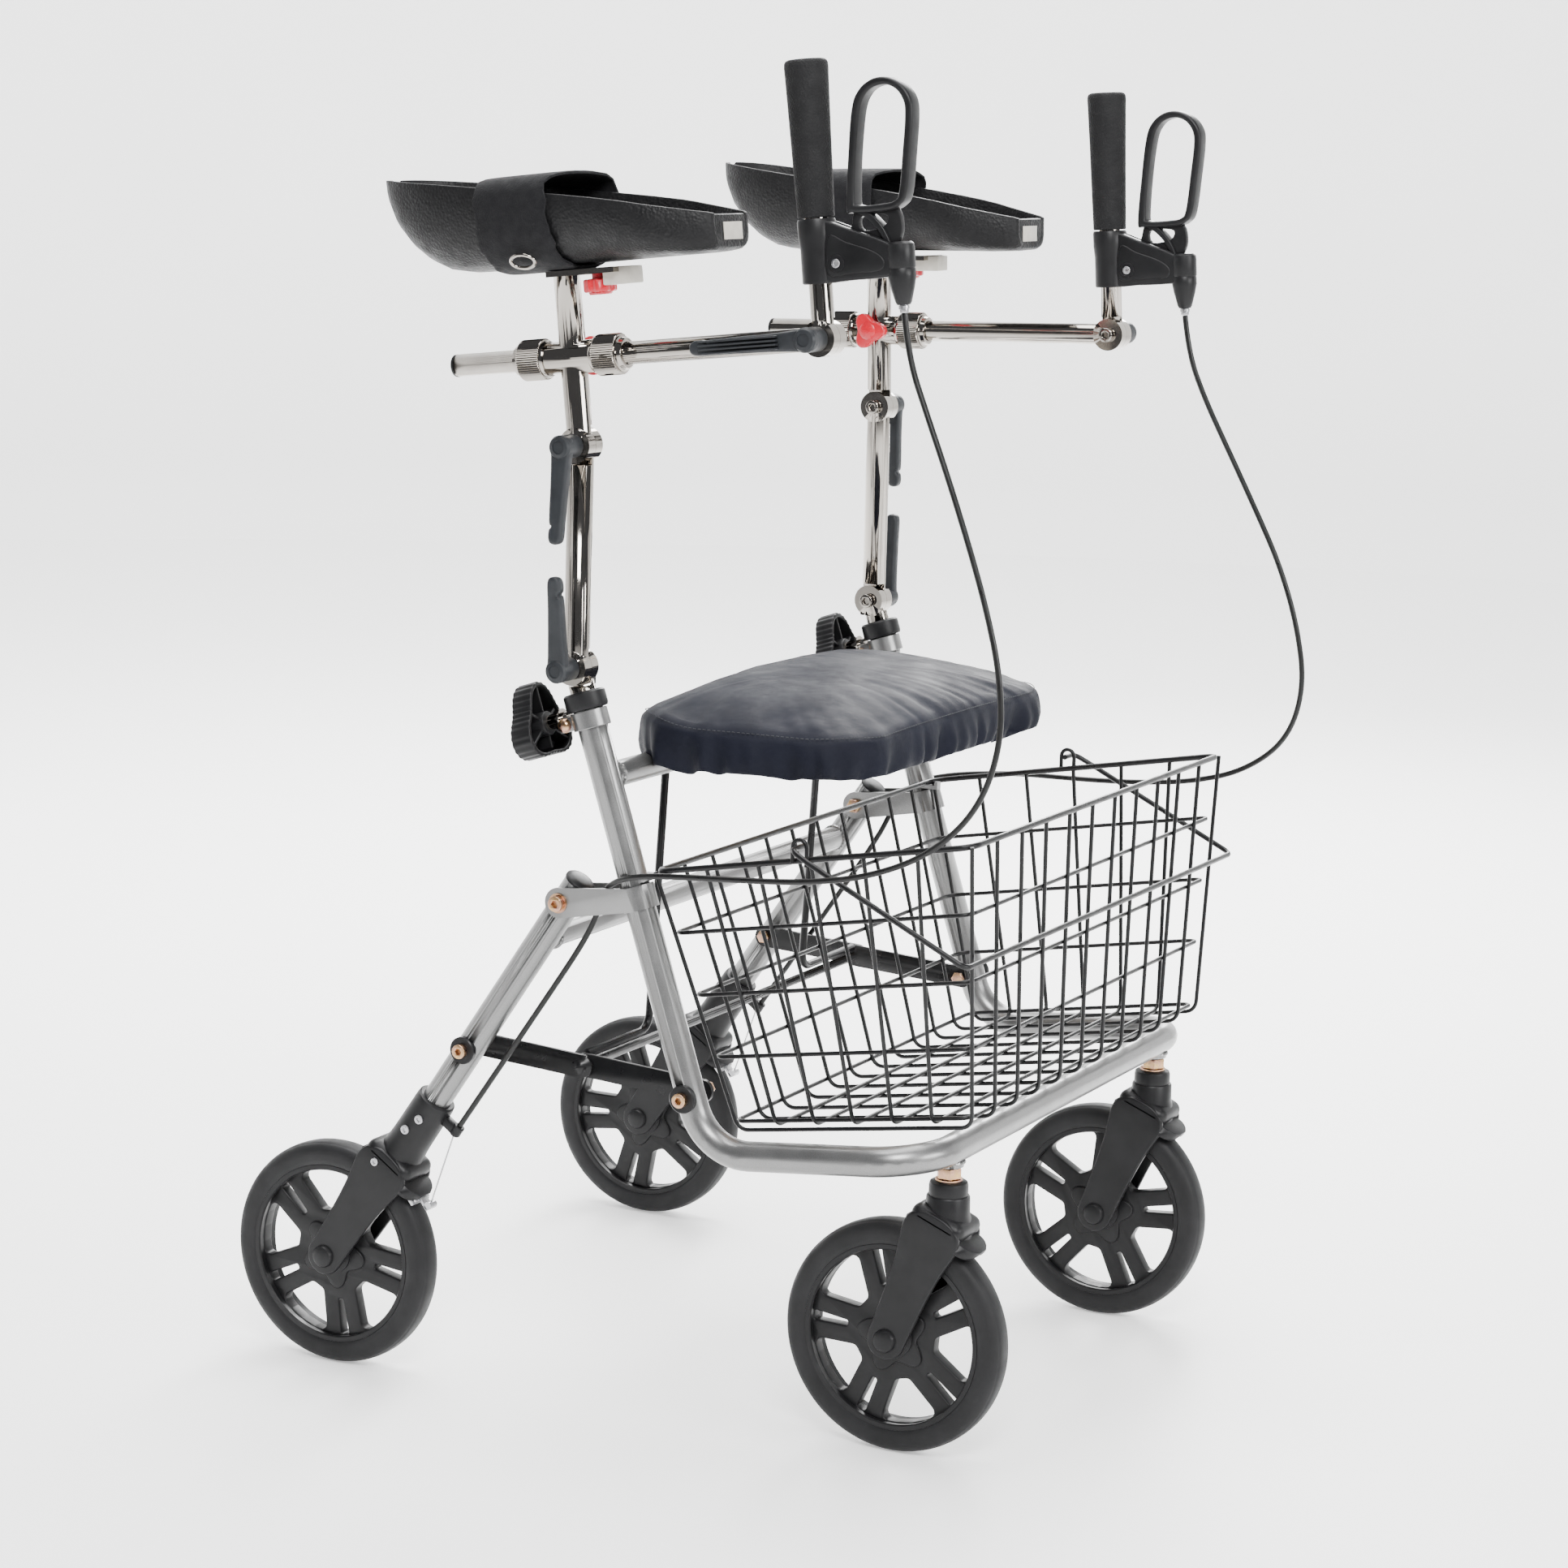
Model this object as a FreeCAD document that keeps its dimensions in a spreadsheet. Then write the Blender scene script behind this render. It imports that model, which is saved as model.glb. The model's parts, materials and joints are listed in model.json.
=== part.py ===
import FreeCAD, Part
import Sketcher
import math
import os
from FreeCAD import Placement, Rotation, Vector

# Wheeled walking frame with forearm supports. Millimetres; +Z up, -Y forward, +X to the user's left.
# The origin is on the floor, midway between the four wheels.

SIZES = [
    # main frame
    ("track_half", 276.0), ("tube_radius", 12.7), ("tube_wall", 1.5), ("frame_bend", 50.0),
    ("upright_top_y", 18.7), ("upright_top_z", 619.0), ("rail_corner_y", -107.4), ("rail_corner_z", 244.0),
    ("front_bar_y", -307.0), ("front_bar_z", 267.0), ("cross_radius", 11.1), ("seat_cross_z", 553.0),
    # fold pivot, rear legs, brace
    ("fold_pivot_y", 31.3), ("fold_pivot_z", 444.0), ("bolt_radius", 4.0), ("running_gap", 0.05),
    ("plate_thick", 3.0), ("plate_end_radius", 13.0), ("leg_above_pivot", 20.0), ("leg_cross_reach", 42.0),
    ("rear_link_reach", 169.0), ("front_link_y", -90.7), ("front_link_z", 292.0), ("link_split", 0.53),
    ("link_width", 20.0), ("link_thick", 4.0), ("spacer_radius", 12.0), ("part_gap", 0.3),
    # wheels
    ("wheel_radius", 100.0), ("tyre_half", 14.0), ("tyre_depth", 20.0), ("rim_band", 4.5),
    ("hub_half", 16.5), ("shoe_ahead", 10.0),
    ("hub_radius", 13.0), ("web_half", 6.0), ("petal_radius", 34.0), ("axle_radius", 5.0),
    ("rear_axle_y", 261.0), ("front_axle_y", -261.0), ("caster_track", 219.0), ("caster_trail", 43.0),
    ("blade_thick", 5.5), ("blade_half_width", 21.0), ("fork_gap_half", 17.0), ("crown_clear", 5.0),
    ("crown_height", 22.0), ("sleeve_radius", 18.0), ("sleeve_length", 58.0), ("stem_radius", 21.0),
    ("stem_top_z", 240.0), ("stem_length", 44.0), ("stem_pin_radius", 6.0), ("nut_flats", 19.0),
    ("nut_height", 10.0),
    # seat
    ("seat_rear_half", 246.0), ("seat_front_half", 200.0), ("seat_rear_y", 20.0), ("seat_front_y", -202.0),
    ("seat_corner", 42.0), ("seat_bottom_z", 565.0), ("seat_rear_top_z", 620.0),
    ("seat_front_top_z", 586.0),
    ("board_thick", 8.0), ("board_inset", 22.0), ("pull_rod_radius", 3.5), ("pull_rod_x", 145.0),
    ("pull_foot_z", 307.0), ("pull_foot_y", 25.0),
    # basket
    ("rim_wire", 2.75), ("grille_wire", 1.8), ("basket_top_half", 267.0), ("basket_rear_y", -47.5),
    ("basket_rear_z", 476.0), ("basket_front_y", -336.0), ("basket_front_z", 530.0),
    ("basket_floor_front_half", 243.0), ("basket_floor_front_y", -334.0), ("basket_floor_front_z", 294.0),
    ("basket_floor_rear_half", 235.0), ("basket_floor_rear_y", -115.0), ("basket_floor_rear_z", 257.0),
    ("bail_wire", 2.4), ("bail_pivot_y", -184.0), ("bail_pivot_z", 513.0), ("bail_half", 288.0),
    ("bail_front_y", -344.0), ("bail_front_z", 436.0),
    # arms
    ("post_radius", 11.1), ("post_wall", 2.0), ("post_in_frame", 190.0), ("lower_joint_y", 26.5),
    ("lower_joint_z", 642.5),
    ("upper_joint_z", 827.0), ("eye_radius", 14.5), ("eye_half", 11.0), ("lap_gap", 0.15),
    ("sleeve_rise", 72.0), ("sleeve_half", 25.0), ("cross_sleeve_radius", 13.5),
    ("handle_tube_radius", 9.5),
    ("tube_behind", 112.0), ("tube_ahead_right", 232.0), ("tube_ahead_left", 238.0), ("ring_radius", 17.0),
    ("ring_length", 22.0), ("arm_tilt_right", 6.8), ("arm_tilt_left", 2.0), ("post_top_rise", 139.0),
    # handles
    ("handle_lean_right", 6.2), ("handle_lean_left", 4.1), ("stem_rise", 214.0), ("grip_low_rise", 94.5),
    ("grip_length", 123.0), ("grip_low_radius", 14.75), ("grip_top_radius", 17.5), ("clamp_radius", 14.0),
    ("clamp_rise", 44.0), ("clamp_length", 50.0), ("lever_pivot_ahead", 20.5), ("lever_pivot_rise", 58.0),
    ("housing_ahead", 72.0), ("housing_radius", 11.0), ("lever_slot_half", 3.4), ("lever_plate_half", 3.0),
    ("lever_loop_half", 8.0), ("lever_strip", 5.0),
    # armrests
    ("gutter_half", 55.0), ("gutter_wall", 5.0), ("gutter_bottom_rise", 146.5), ("gutter_behind", 158.0),
    ("gutter_ahead", 156.0), ("gutter_taper_ahead", 98.0), ("gutter_front_half", 32.0),
    ("strap_thick", 3.0), ("strap_width", 68.0), ("strap_behind", 48.0),
    ("strap_gap", 0.5), ("strap_crown", 21.0), ("strap_corner", 6.0),
    # brake cable
    ("cable_radius", 2.5),
]


class Size:
    """A length that carries its sheet expression beside its value."""

    def __init__(self, value, text):
        self.value = value
        self.text = text

    def __add__(self, other):
        return combined(self, "+", other, self.value + number(other))

    def __sub__(self, other):
        return combined(self, "-", other, self.value - number(other))

    def __mul__(self, other):
        return combined(self, "*", other, self.value * number(other))

    def __neg__(self):
        return combined(self, "*", -1.0, -self.value)

    __radd__ = __add__
    __rmul__ = __mul__

    def __rsub__(self, other):
        return combined(other, "-", self, number(other) - self.value)


def number(size):
    return size.value if isinstance(size, Size) else float(size)


def expression(size):
    return size.text if isinstance(size, Size) else "%.9g" % size


def combined(first, sign, second, value):
    return Size(value, "(%s %s (%s))" % (expression(first), sign, expression(second)))


class Sizes:
    """The named sizes of the sheet."""


doc = FreeCAD.newDocument("walking_frame")
d = Sizes()
SUB_PARTS = []
SIDES = ((-1, "right"), (1, "left"))
LEVER_THICKNESS = 10
LEVER_REACH = 79.0
HANDLE_LEVER_REACH = 100.0


def write_sheet():
    sheet = doc.addObject("Spreadsheet::Sheet", "Sizes")
    for row, (alias, value) in enumerate(SIZES, start=1):
        sheet.set("A%d" % row, alias)
        sheet.set("B%d" % row, "%g" % value)
        sheet.setAlias("B%d" % row, alias)
        setattr(d, alias, Size(value, "Sizes." + alias))
    doc.recompute()


# ---------------------------------------------------------------- building blocks

def bind(item, path, size):
    if isinstance(size, Size):
        item.setExpression(path, size.text)


def place(item, base, turn=Rotation()):
    item.Placement = Placement(Vector(*[number(value) for value in base]), turn)
    for axis, value in zip("xyz", base):
        bind(item, ".Placement.Base." + axis, value)
    return item


def facing(direction):
    return Rotation(Vector(0, 0, 1), Vector(*direction))


def tilt(degrees):
    """Leaning back by an angle, about the X axis."""
    return Rotation(Vector(1, 0, 0), -degrees)


def primitive(kind, name, base, turn, **sizes):
    item = doc.addObject("Part::" + kind, name)
    for key, size in sizes.items():
        setattr(item, key, number(size))
        bind(item, key, size)
    return place(item, base, turn)


def cylinder(name, radius, height, base, direction=(0, 0, 1)):
    return primitive("Cylinder", name, base, facing(direction), Radius=radius, Height=height)


def rod_x(name, radius, x_low, x_high, y, z):
    """A round bar across the frame."""
    return cylinder(name, radius, x_high - x_low, (x_low, y, z), (1, 0, 0))


def outward_rod(name, side, radius, near, far, y, z):
    """A round bar across the frame, from near to far off the centre plane on one side."""
    if side < 0:
        near, far = -1.0 * far, -1.0 * near
    return rod_x(name, radius, near, far, y, z)


def block(name, low, high, turn=Rotation()):
    spans = [high[i] - low[i] for i in range(3)]
    return primitive("Box", name, low, turn, Length=spans[0], Width=spans[1], Height=spans[2])


def sided(side, near, far):
    """The low and high X of a span that runs from near to far off the centre plane on one side."""
    return (near, far) if side > 0 else (-1.0 * far, -1.0 * near)


def fuse(name, items):
    if len(items) == 1:
        return items[0]
    item = doc.addObject("Part::MultiFuse", name)
    item.Shapes = items
    return item


def cut(name, base, tools):
    item = doc.addObject("Part::Cut", name)
    item.Base = base
    item.Tool = fuse(name + "_tools", tools)
    return item


def common(name, items):
    item = doc.addObject("Part::MultiCommon", name)
    item.Shapes = items
    return item


def sub_part(label, item):
    item.Label = label
    SUB_PARTS.append(item)
    return item


def shaped(name, shape):
    """A solid that no primitive gives, made from the sheet's values."""
    item = doc.addObject("Part::Feature", name)
    item.Shape = shape
    return item


def plane_sketch(body, role, name):
    sketch = body.newObject("Sketcher::SketchObject", name)
    plane = [feature for feature in body.Origin.OriginFeatures if feature.Role == role][0]
    sketch.AttachmentSupport = (plane, [""])
    sketch.MapMode = "FlatFace"
    return sketch


def dimension(sketch, kind, where, size):
    """Adds one driving dimension, or a hold on the axis where it is nothing."""
    if kind in ("DistanceX", "DistanceY") and number(size) == 0:
        sketch.addConstraint(Sketcher.Constraint("PointOnObject", where, 1,
                                                 -2 if kind == "DistanceX" else -1))
        return
    anchor = (-1, 1, where, 1) if kind in ("DistanceX", "DistanceY") else (where,)
    index = sketch.addConstraint(Sketcher.Constraint(kind, *anchor, number(size)))
    bind(sketch, "Constraints[%d]" % index, size)


def outline(sketch, points):
    """A closed outline of straight lines, every corner dimensioned from the origin."""
    spots = [Vector(number(a), number(b), 0) for a, b in points]
    count = len(spots)
    for index in range(count):
        sketch.addGeometry(Part.LineSegment(spots[index], spots[(index + 1) % count]))
    for index in range(count):
        sketch.addConstraint(Sketcher.Constraint("Coincident", index, 2, (index + 1) % count, 1))
    for index, (a, b) in enumerate(points):
        dimension(sketch, "DistanceX", index, a)
        dimension(sketch, "DistanceY", index, b)


def turned(name, points, base=(0, 0, 0), turn=Rotation()):
    """A turned body: points are (radius, height) round the body's own Z axis."""
    body = doc.addObject("PartDesign::Body", name)
    sketch = plane_sketch(body, "XZ_Plane", name + "_outline")
    outline(sketch, points)
    revolution = body.newObject("PartDesign::Revolution", name + "_turned")
    revolution.Profile = sketch
    revolution.ReferenceAxis = (sketch, ["V_Axis"])
    revolution.Angle = 360
    return place(body, base, turn)


def padded(name, role, points, depth, base=(0, 0, 0), turn=Rotation(), fillet=None):
    """A plate of the given outline, centred on its sketch plane."""
    body = doc.addObject("PartDesign::Body", name)
    sketch = plane_sketch(body, role, name + "_outline")
    outline(sketch, points)
    pad = body.newObject("PartDesign::Pad", name + "_pad")
    pad.Profile = sketch
    pad.Length = number(depth)
    bind(pad, "Length", depth)
    pad.Midplane = True
    if fillet is not None:
        doc.recompute()
        normal = {"XY_Plane": Vector(0, 0, 1), "YZ_Plane": Vector(1, 0, 0)}[role]
        corners = ["Edge%d" % (index + 1) for index, edge in enumerate(pad.Shape.Edges)
                   if edge.tangentAt(edge.FirstParameter).cross(normal).Length < 1e-6]
        rounding = body.newObject("PartDesign::Fillet", name + "_corners")
        rounding.Base = (pad, corners)
        rounding.Radius = number(fillet)
        bind(rounding, "Radius", fillet)
    return place(body, base, turn)


def rounded_wire(points, radii):
    """Straight runs joined by tangent arcs, one radius for each inner point."""
    edges = []
    start = points[0]
    for index in range(1, len(points) - 1):
        corner = points[index]
        back = (points[index - 1] - corner).normalize()
        ahead = (points[index + 1] - corner).normalize()
        half_turn = (math.pi - back.getAngle(ahead)) / 2
        reach = radii[index - 1] * math.tan(half_turn)
        first = corner + back * reach
        last = corner + ahead * reach
        inward = (back + ahead).normalize()
        middle = corner + inward * (radii[index - 1] / math.cos(half_turn) - radii[index - 1])
        edges.append(Part.LineSegment(start, first).toShape())
        edges.append(Part.Arc(first, middle, last).toShape())
        start = last
    edges.append(Part.LineSegment(start, points[-1]).toShape())
    return Part.Wire(edges)


def swept(wire, radius):
    start = wire.Edges[0].valueAt(wire.Edges[0].FirstParameter)
    heading = wire.Edges[0].tangentAt(wire.Edges[0].FirstParameter)
    section = Part.Wire(Part.makeCircle(radius, start, heading))
    return wire.makePipeShell([section], True, False)


def bent_rod(name, points, bend, radius):
    spots = [Vector(*point) for point in points]
    return shaped(name, swept(rounded_wire(spots, [bend] * (len(spots) - 2)), radius))


# ---------------------------------------------------------------- shared geometry

def upright_y(z):
    """Y of the upright's axis at a height."""
    slope = (d.upright_top_y.value - d.rail_corner_y.value) / (d.upright_top_z.value - d.rail_corner_z.value)
    return d.upright_top_y.value - (d.upright_top_z.value - z) * slope


def upright_direction():
    return Vector(0, d.upright_top_y.value - d.rail_corner_y.value,
                  d.upright_top_z.value - d.rail_corner_z.value).normalize()


def leg_direction():
    """From the fold pivot down to the rear axle."""
    return Vector(0, d.rear_axle_y.value - d.fold_pivot_y.value,
                  d.wheel_radius.value - d.fold_pivot_z.value).normalize()


def leg_point(reach):
    """(y, z) on a rear leg's axis, measured down from the fold pivot."""
    spot = Vector(0, d.fold_pivot_y.value, d.fold_pivot_z.value) + leg_direction() * number(reach)
    return spot.y, spot.z


def leg_length():
    return math.hypot(d.rear_axle_y.value - d.fold_pivot_y.value,
                      d.fold_pivot_z.value - d.wheel_radius.value)


def brace_middle():
    """(y, z) of the brace's middle pivot, on the straight line between its end pivots."""
    rear_y, rear_z = leg_point(d.rear_link_reach)
    share = d.link_split.value
    return (d.front_link_y.value + (rear_y - d.front_link_y.value) * share,
            d.front_link_z.value + (rear_z - d.front_link_z.value) * share)


def sleeve_start():
    """How far down the leg its tube ends: a crown's height above the wheel."""
    return leg_length() - d.wheel_radius.value - d.crown_clear.value - d.crown_height.value


# ---------------------------------------------------------------- frame

def front_frame():
    corners = [(d.track_half, d.upright_top_y, d.upright_top_z),
               (d.track_half, d.rail_corner_y, d.rail_corner_z),
               (d.track_half, d.front_bar_y, d.front_bar_z)]
    half = [tuple(number(value) for value in corner) for corner in corners]
    route = half + [(-x, y, z) for x, y, z in reversed(half)]
    outer = bent_rod("frame_loop", route, d.frame_bend.value, d.tube_radius.value)
    top = Vector(*half[0]) + upright_direction()
    past = [tuple(top)] + route[1:-1] + [(-top.x, top.y, top.z)]
    inner = bent_rod("frame_loop_bore", past, d.frame_bend.value, d.tube_radius.value - d.tube_wall.value)
    cross_y = upright_y(d.seat_cross_z.value)
    solids = [outer, rod_x("seat_cross", d.cross_radius, 6 - d.track_half, d.track_half - 6, cross_y,
                           d.seat_cross_z)]
    bores = [inner, rod_x("seat_cross_bore", d.cross_radius - d.tube_wall, -d.track_half, d.track_half,
                          cross_y, d.seat_cross_z)]
    for side, word in SIDES:
        solids += basket_ledge(side, word) + [caster_boss(side, word)]
        bores.append(cylinder("caster_bore_" + word, d.stem_pin_radius, 40, (side * d.caster_track,
                     d.front_axle_y - d.caster_trail, d.front_bar_z - 30)))
        bores.append(rod_x("front_link_bore_" + word, d.bolt_radius, side * d.track_half - 20,
                           side * d.track_half + 20, d.front_link_y, d.front_link_z))
    return sub_part("front_frame", cut("front_frame", fuse("front_frame_solids", solids), bores))


def basket_ledge(side, word):
    """A small step on the upright's front with a lipped finger, on which the basket's rear corner rests."""
    under = d.basket_rear_z - d.rim_wire - d.part_gap
    bottom = under - 3.5
    inner = d.basket_top_half - 11
    low, high = sided(side, inner, d.track_half + 8)
    step = block("ledge_" + word, (low, d.basket_rear_y + 1.5, bottom), (high, d.basket_rear_y + 13, under))
    low, high = sided(side, inner, d.basket_top_half - 3.5)
    lip_y = d.basket_rear_y - d.rim_wire - 4
    finger = block("ledge_finger_" + word, (low, lip_y - 3, bottom), (high, d.basket_rear_y + 3, under))
    lip = block("ledge_lip_" + word, (low, lip_y - 3, bottom), (high, lip_y, under + 4))
    return [step, finger, lip]


def caster_boss(side, word):
    return cylinder("caster_boss_" + word, 12, 17, (side * d.caster_track, d.front_axle_y - d.caster_trail,
                                                    d.front_bar_z - 15))


def bracket_frame():
    """Placement of the pivot brackets: X across, Y rearward square to the upright, Z up along it."""
    up = upright_direction()
    rearward = Vector(0, up.z, -up.y)
    pivot = Vector(0, d.fold_pivot_y.value, d.fold_pivot_z.value)
    foot = Vector(0, upright_y(d.fold_pivot_z.value), d.fold_pivot_z.value)
    reach = (pivot - foot).dot(rearward)
    origin = pivot - rearward * reach
    return origin, reach, Rotation(Vector(1, 0, 0), rearward, up, "XYZ")


def pivot_brackets():
    """Straps round the uprights whose ears carry the fold pivots."""
    origin, reach, turn = bracket_frame()
    up = upright_direction()
    inside = d.tube_radius + 0.1
    outside = inside + d.plate_thick
    ear = [(0, -22), (reach, -1.0 * d.plate_end_radius), (reach, d.plate_end_radius), (0, -2)]
    pieces = []
    for side, word in SIDES:
        centre = Vector(side * d.track_half.value, origin.y, origin.z)
        solids = [padded("ears_" + word, "YZ_Plane", ear, outside * 2, tuple(centre), turn),
                  rod_x("ear_ends_" + word, d.plate_end_radius, side * d.track_half - outside,
                        side * d.track_half + outside, d.fold_pivot_y, d.fold_pivot_z),
                  cylinder("wrap_" + word, outside, 20, tuple(centre - up * 22), tuple(up))]
        corner = centre - up * 60 - Vector(inside.value, 0, 0)
        hollows = [cylinder("wrap_bore_" + word, inside, 120, tuple(centre - up * 60), tuple(up)),
                   primitive("Box", "ear_gap_" + word, tuple(corner), turn, Length=inside * 2, Width=150,
                             Height=120),
                   rod_x("fold_bolt_bore_" + word, d.bolt_radius, side * d.track_half - 20,
                         side * d.track_half + 20, d.fold_pivot_y, d.fold_pivot_z)]
        pieces.append(cut("bracket_" + word, fuse("bracket_solid_" + word, solids), hollows))
    return sub_part("pivot_brackets", fuse("pivot_brackets", pieces))


def knob_axis(side):
    """Where a height knob's axis leaves its upright, and the axis, square to the upright and rearward."""
    up = upright_direction()
    top = Vector(side * d.track_half.value, d.upright_top_y.value, d.upright_top_z.value)
    return top - up * 14, Vector(0, up.z, -up.y)


def post_collars():
    """Clamp collars on the uprights, bored for the sliding posts."""
    up = upright_direction()
    top = Vector(0, d.upright_top_y.value, d.upright_top_z.value)
    pieces = []
    for side, word in SIDES:
        centre = Vector(side * d.track_half.value, top.y, top.z)
        collar = cylinder("collar_" + word, d.tube_radius + 4.3, 31, tuple(centre - up * 28), tuple(up))
        start, rearward = knob_axis(side)
        lug = cylinder("collar_lug_" + word, 9, 14, tuple(start + rearward * 10), tuple(rearward))
        hollows = [cylinder("collar_seat_" + word, d.tube_radius, 40, tuple(centre - up * 40), tuple(up)),
                   cylinder("collar_bore_" + word, d.post_radius + 0.25, 60, tuple(centre - up * 40),
                            tuple(up))]
        pieces.append(cut("collar_piece_" + word, fuse("collar_solid_" + word, [collar, lug]), hollows))
    return sub_part("post_collars", fuse("post_collars", pieces))


def height_knobs():
    """Three-lobed clamp knobs behind the collars, on round spacers."""
    pieces = []
    for side, word in SIDES:
        start, rearward = knob_axis(side)
        near, face, end = 24, 41, 61
        spacer = cylinder("knob_spacer_" + word, 6.5, face - near + 1, tuple(start + rearward * near),
                          tuple(rearward))
        hub = cylinder("knob_hub_" + word, 23, end - face, tuple(start + rearward * face), tuple(rearward))
        wing = primitive("Prism", "knob_wing_" + word, tuple(start + rearward * face),
                         facing(tuple(rearward)),
                         Circumradius=37, Height=end - face)
        wing.Polygon = 3
        pieces.append(fuse("knob_" + word, [spacer, hub, wing]))
    return sub_part("height_knobs", fuse("height_knobs", pieces))


def frame_fasteners():
    """Fold pivot bolts, front brace bolts and the caster pins with their hexagon nuts."""
    pieces = []
    for side, word in SIDES:
        bracket_out = d.track_half + d.tube_radius + 0.1 + d.plate_thick
        bracket_in = d.track_half - d.tube_radius - 0.1 - d.plate_thick
        pieces.append(fuse("fold_bolt_" + word, [
            outward_rod("fold_bolt_shank_" + word, side, d.bolt_radius, bracket_in - 2, bracket_out + 2,
                        d.fold_pivot_y, d.fold_pivot_z),
            outward_rod("fold_bolt_head_" + word, side, 7, bracket_out, bracket_out + 6, d.fold_pivot_y,
                        d.fold_pivot_z),
            outward_rod("fold_bolt_nut_" + word, side, 7, bracket_in - 5, bracket_in, d.fold_pivot_y,
                        d.fold_pivot_z)]))
        tube_out = d.track_half + d.tube_radius
        tube_in = d.track_half - d.tube_radius
        links_in = tube_in - link_layer(1) - d.link_thick
        pieces.append(fuse("brace_bolt_" + word, [
            outward_rod("brace_bolt_shank_" + word, side, d.bolt_radius, links_in - 4, tube_out + 4,
                        d.front_link_y, d.front_link_z),
            cut("brace_spacer_" + word,
                outward_rod("brace_spacer_disc_" + word, side, d.spacer_radius, tube_out - 4, tube_out + 3,
                            d.front_link_y, d.front_link_z),
                [tube_room("brace_spacer_room_" + word, side, "upright")]),
            outward_rod("brace_bolt_head_" + word, side, 6.5, tube_out + 2.5, tube_out + 9, d.front_link_y,
                        d.front_link_z),
            outward_rod("brace_bolt_nut_" + word, side, 6.5, links_in - 5, links_in - 0.3, d.front_link_y,
                        d.front_link_z)]))
        pieces.append(caster_pin(side, word))
    return sub_part("frame_fasteners", fuse("frame_fasteners", pieces))


def tube_room(name, side, which):
    """The space taken by an upright or a rear leg beside a spacer."""
    if which == "upright":
        axis = upright_direction()
        foot = Vector(side * d.track_half.value, upright_y(d.front_link_z.value), d.front_link_z.value)
    else:
        axis = leg_direction() * -1
        y, z = leg_point(d.rear_link_reach)
        foot = Vector(side * d.track_half.value, y, z)
    return cylinder(name, d.tube_radius, 80, tuple(foot - axis * 40), tuple(axis))


def link_layer(layer):
    """Gap between a tube's inner side and a link: layer 0 lies next to the tube, layer 1 inside it."""
    return 0.8 + layer * (d.link_thick + 1.0)


def caster_pin(side, word):
    x = side * d.caster_track
    y = d.front_axle_y - d.caster_trail
    nut_bottom = d.stem_top_z + 1.5
    nut = primitive("Prism", "caster_nut_" + word, (x, y, nut_bottom), Rotation(),
                    Circumradius=d.nut_flats * (1 / math.sqrt(3)), Height=d.nut_height)
    nut.Polygon = 6
    pin = cylinder("caster_pin_shank_" + word, d.stem_pin_radius, d.front_bar_z - 10 - d.stem_top_z + 34,
                   (x, y, d.stem_top_z - 34))
    return fuse("caster_pin_" + word, [nut, pin])


# ---------------------------------------------------------------- rear frame and brace

def rear_legs():
    """Rear legs hung on the fold pivots, joined by a cross tube."""
    down = leg_direction()
    pivot = Vector(0, d.fold_pivot_y.value, d.fold_pivot_z.value)
    cross_y, cross_z = leg_point(d.leg_cross_reach)
    link_y, link_z = leg_point(d.rear_link_reach)
    length = d.leg_above_pivot.value + sleeve_start()
    solids = [rod_x("leg_cross", d.cross_radius, 6 - d.track_half, d.track_half - 6, cross_y, cross_z)]
    bores = [rod_x("leg_cross_bore", d.cross_radius - d.tube_wall, -d.track_half, d.track_half, cross_y,
                   cross_z)]
    for side, word in SIDES:
        top = Vector(side * d.track_half.value, pivot.y, pivot.z) - down * d.leg_above_pivot.value
        solids.append(cylinder("leg_" + word, d.tube_radius, length, tuple(top), tuple(down)))
        bores += [cylinder("leg_bore_" + word, d.tube_radius - d.tube_wall, length + 2, tuple(top - down),
                           tuple(down)),
                  rod_x("leg_pivot_bore_" + word, d.bolt_radius + d.running_gap, side * d.track_half - 20,
                        side * d.track_half + 20, d.fold_pivot_y, d.fold_pivot_z),
                  rod_x("leg_link_bore_" + word, d.bolt_radius, side * d.track_half - 20,
                        side * d.track_half + 20,
                        link_y, link_z)]
    return sub_part("rear_legs", cut("rear_legs", fuse("rear_leg_solids", solids), bores))


def leg_caps():
    down = leg_direction()
    pivot = Vector(0, d.fold_pivot_y.value, d.fold_pivot_z.value)
    caps = []
    for side, word in SIDES:
        top = Vector(side * d.track_half.value, pivot.y, pivot.z) - down * d.leg_above_pivot.value
        caps.append(fuse("leg_cap_" + word, [
            cylinder("cap_disc_" + word, d.tube_radius + 0.6, 4, tuple(top - down * 4), tuple(down)),
            cylinder("cap_plug_" + word, d.tube_radius - d.tube_wall, 12, tuple(top - down), tuple(down))]))
    return sub_part("leg_caps", fuse("leg_caps", caps))


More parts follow.
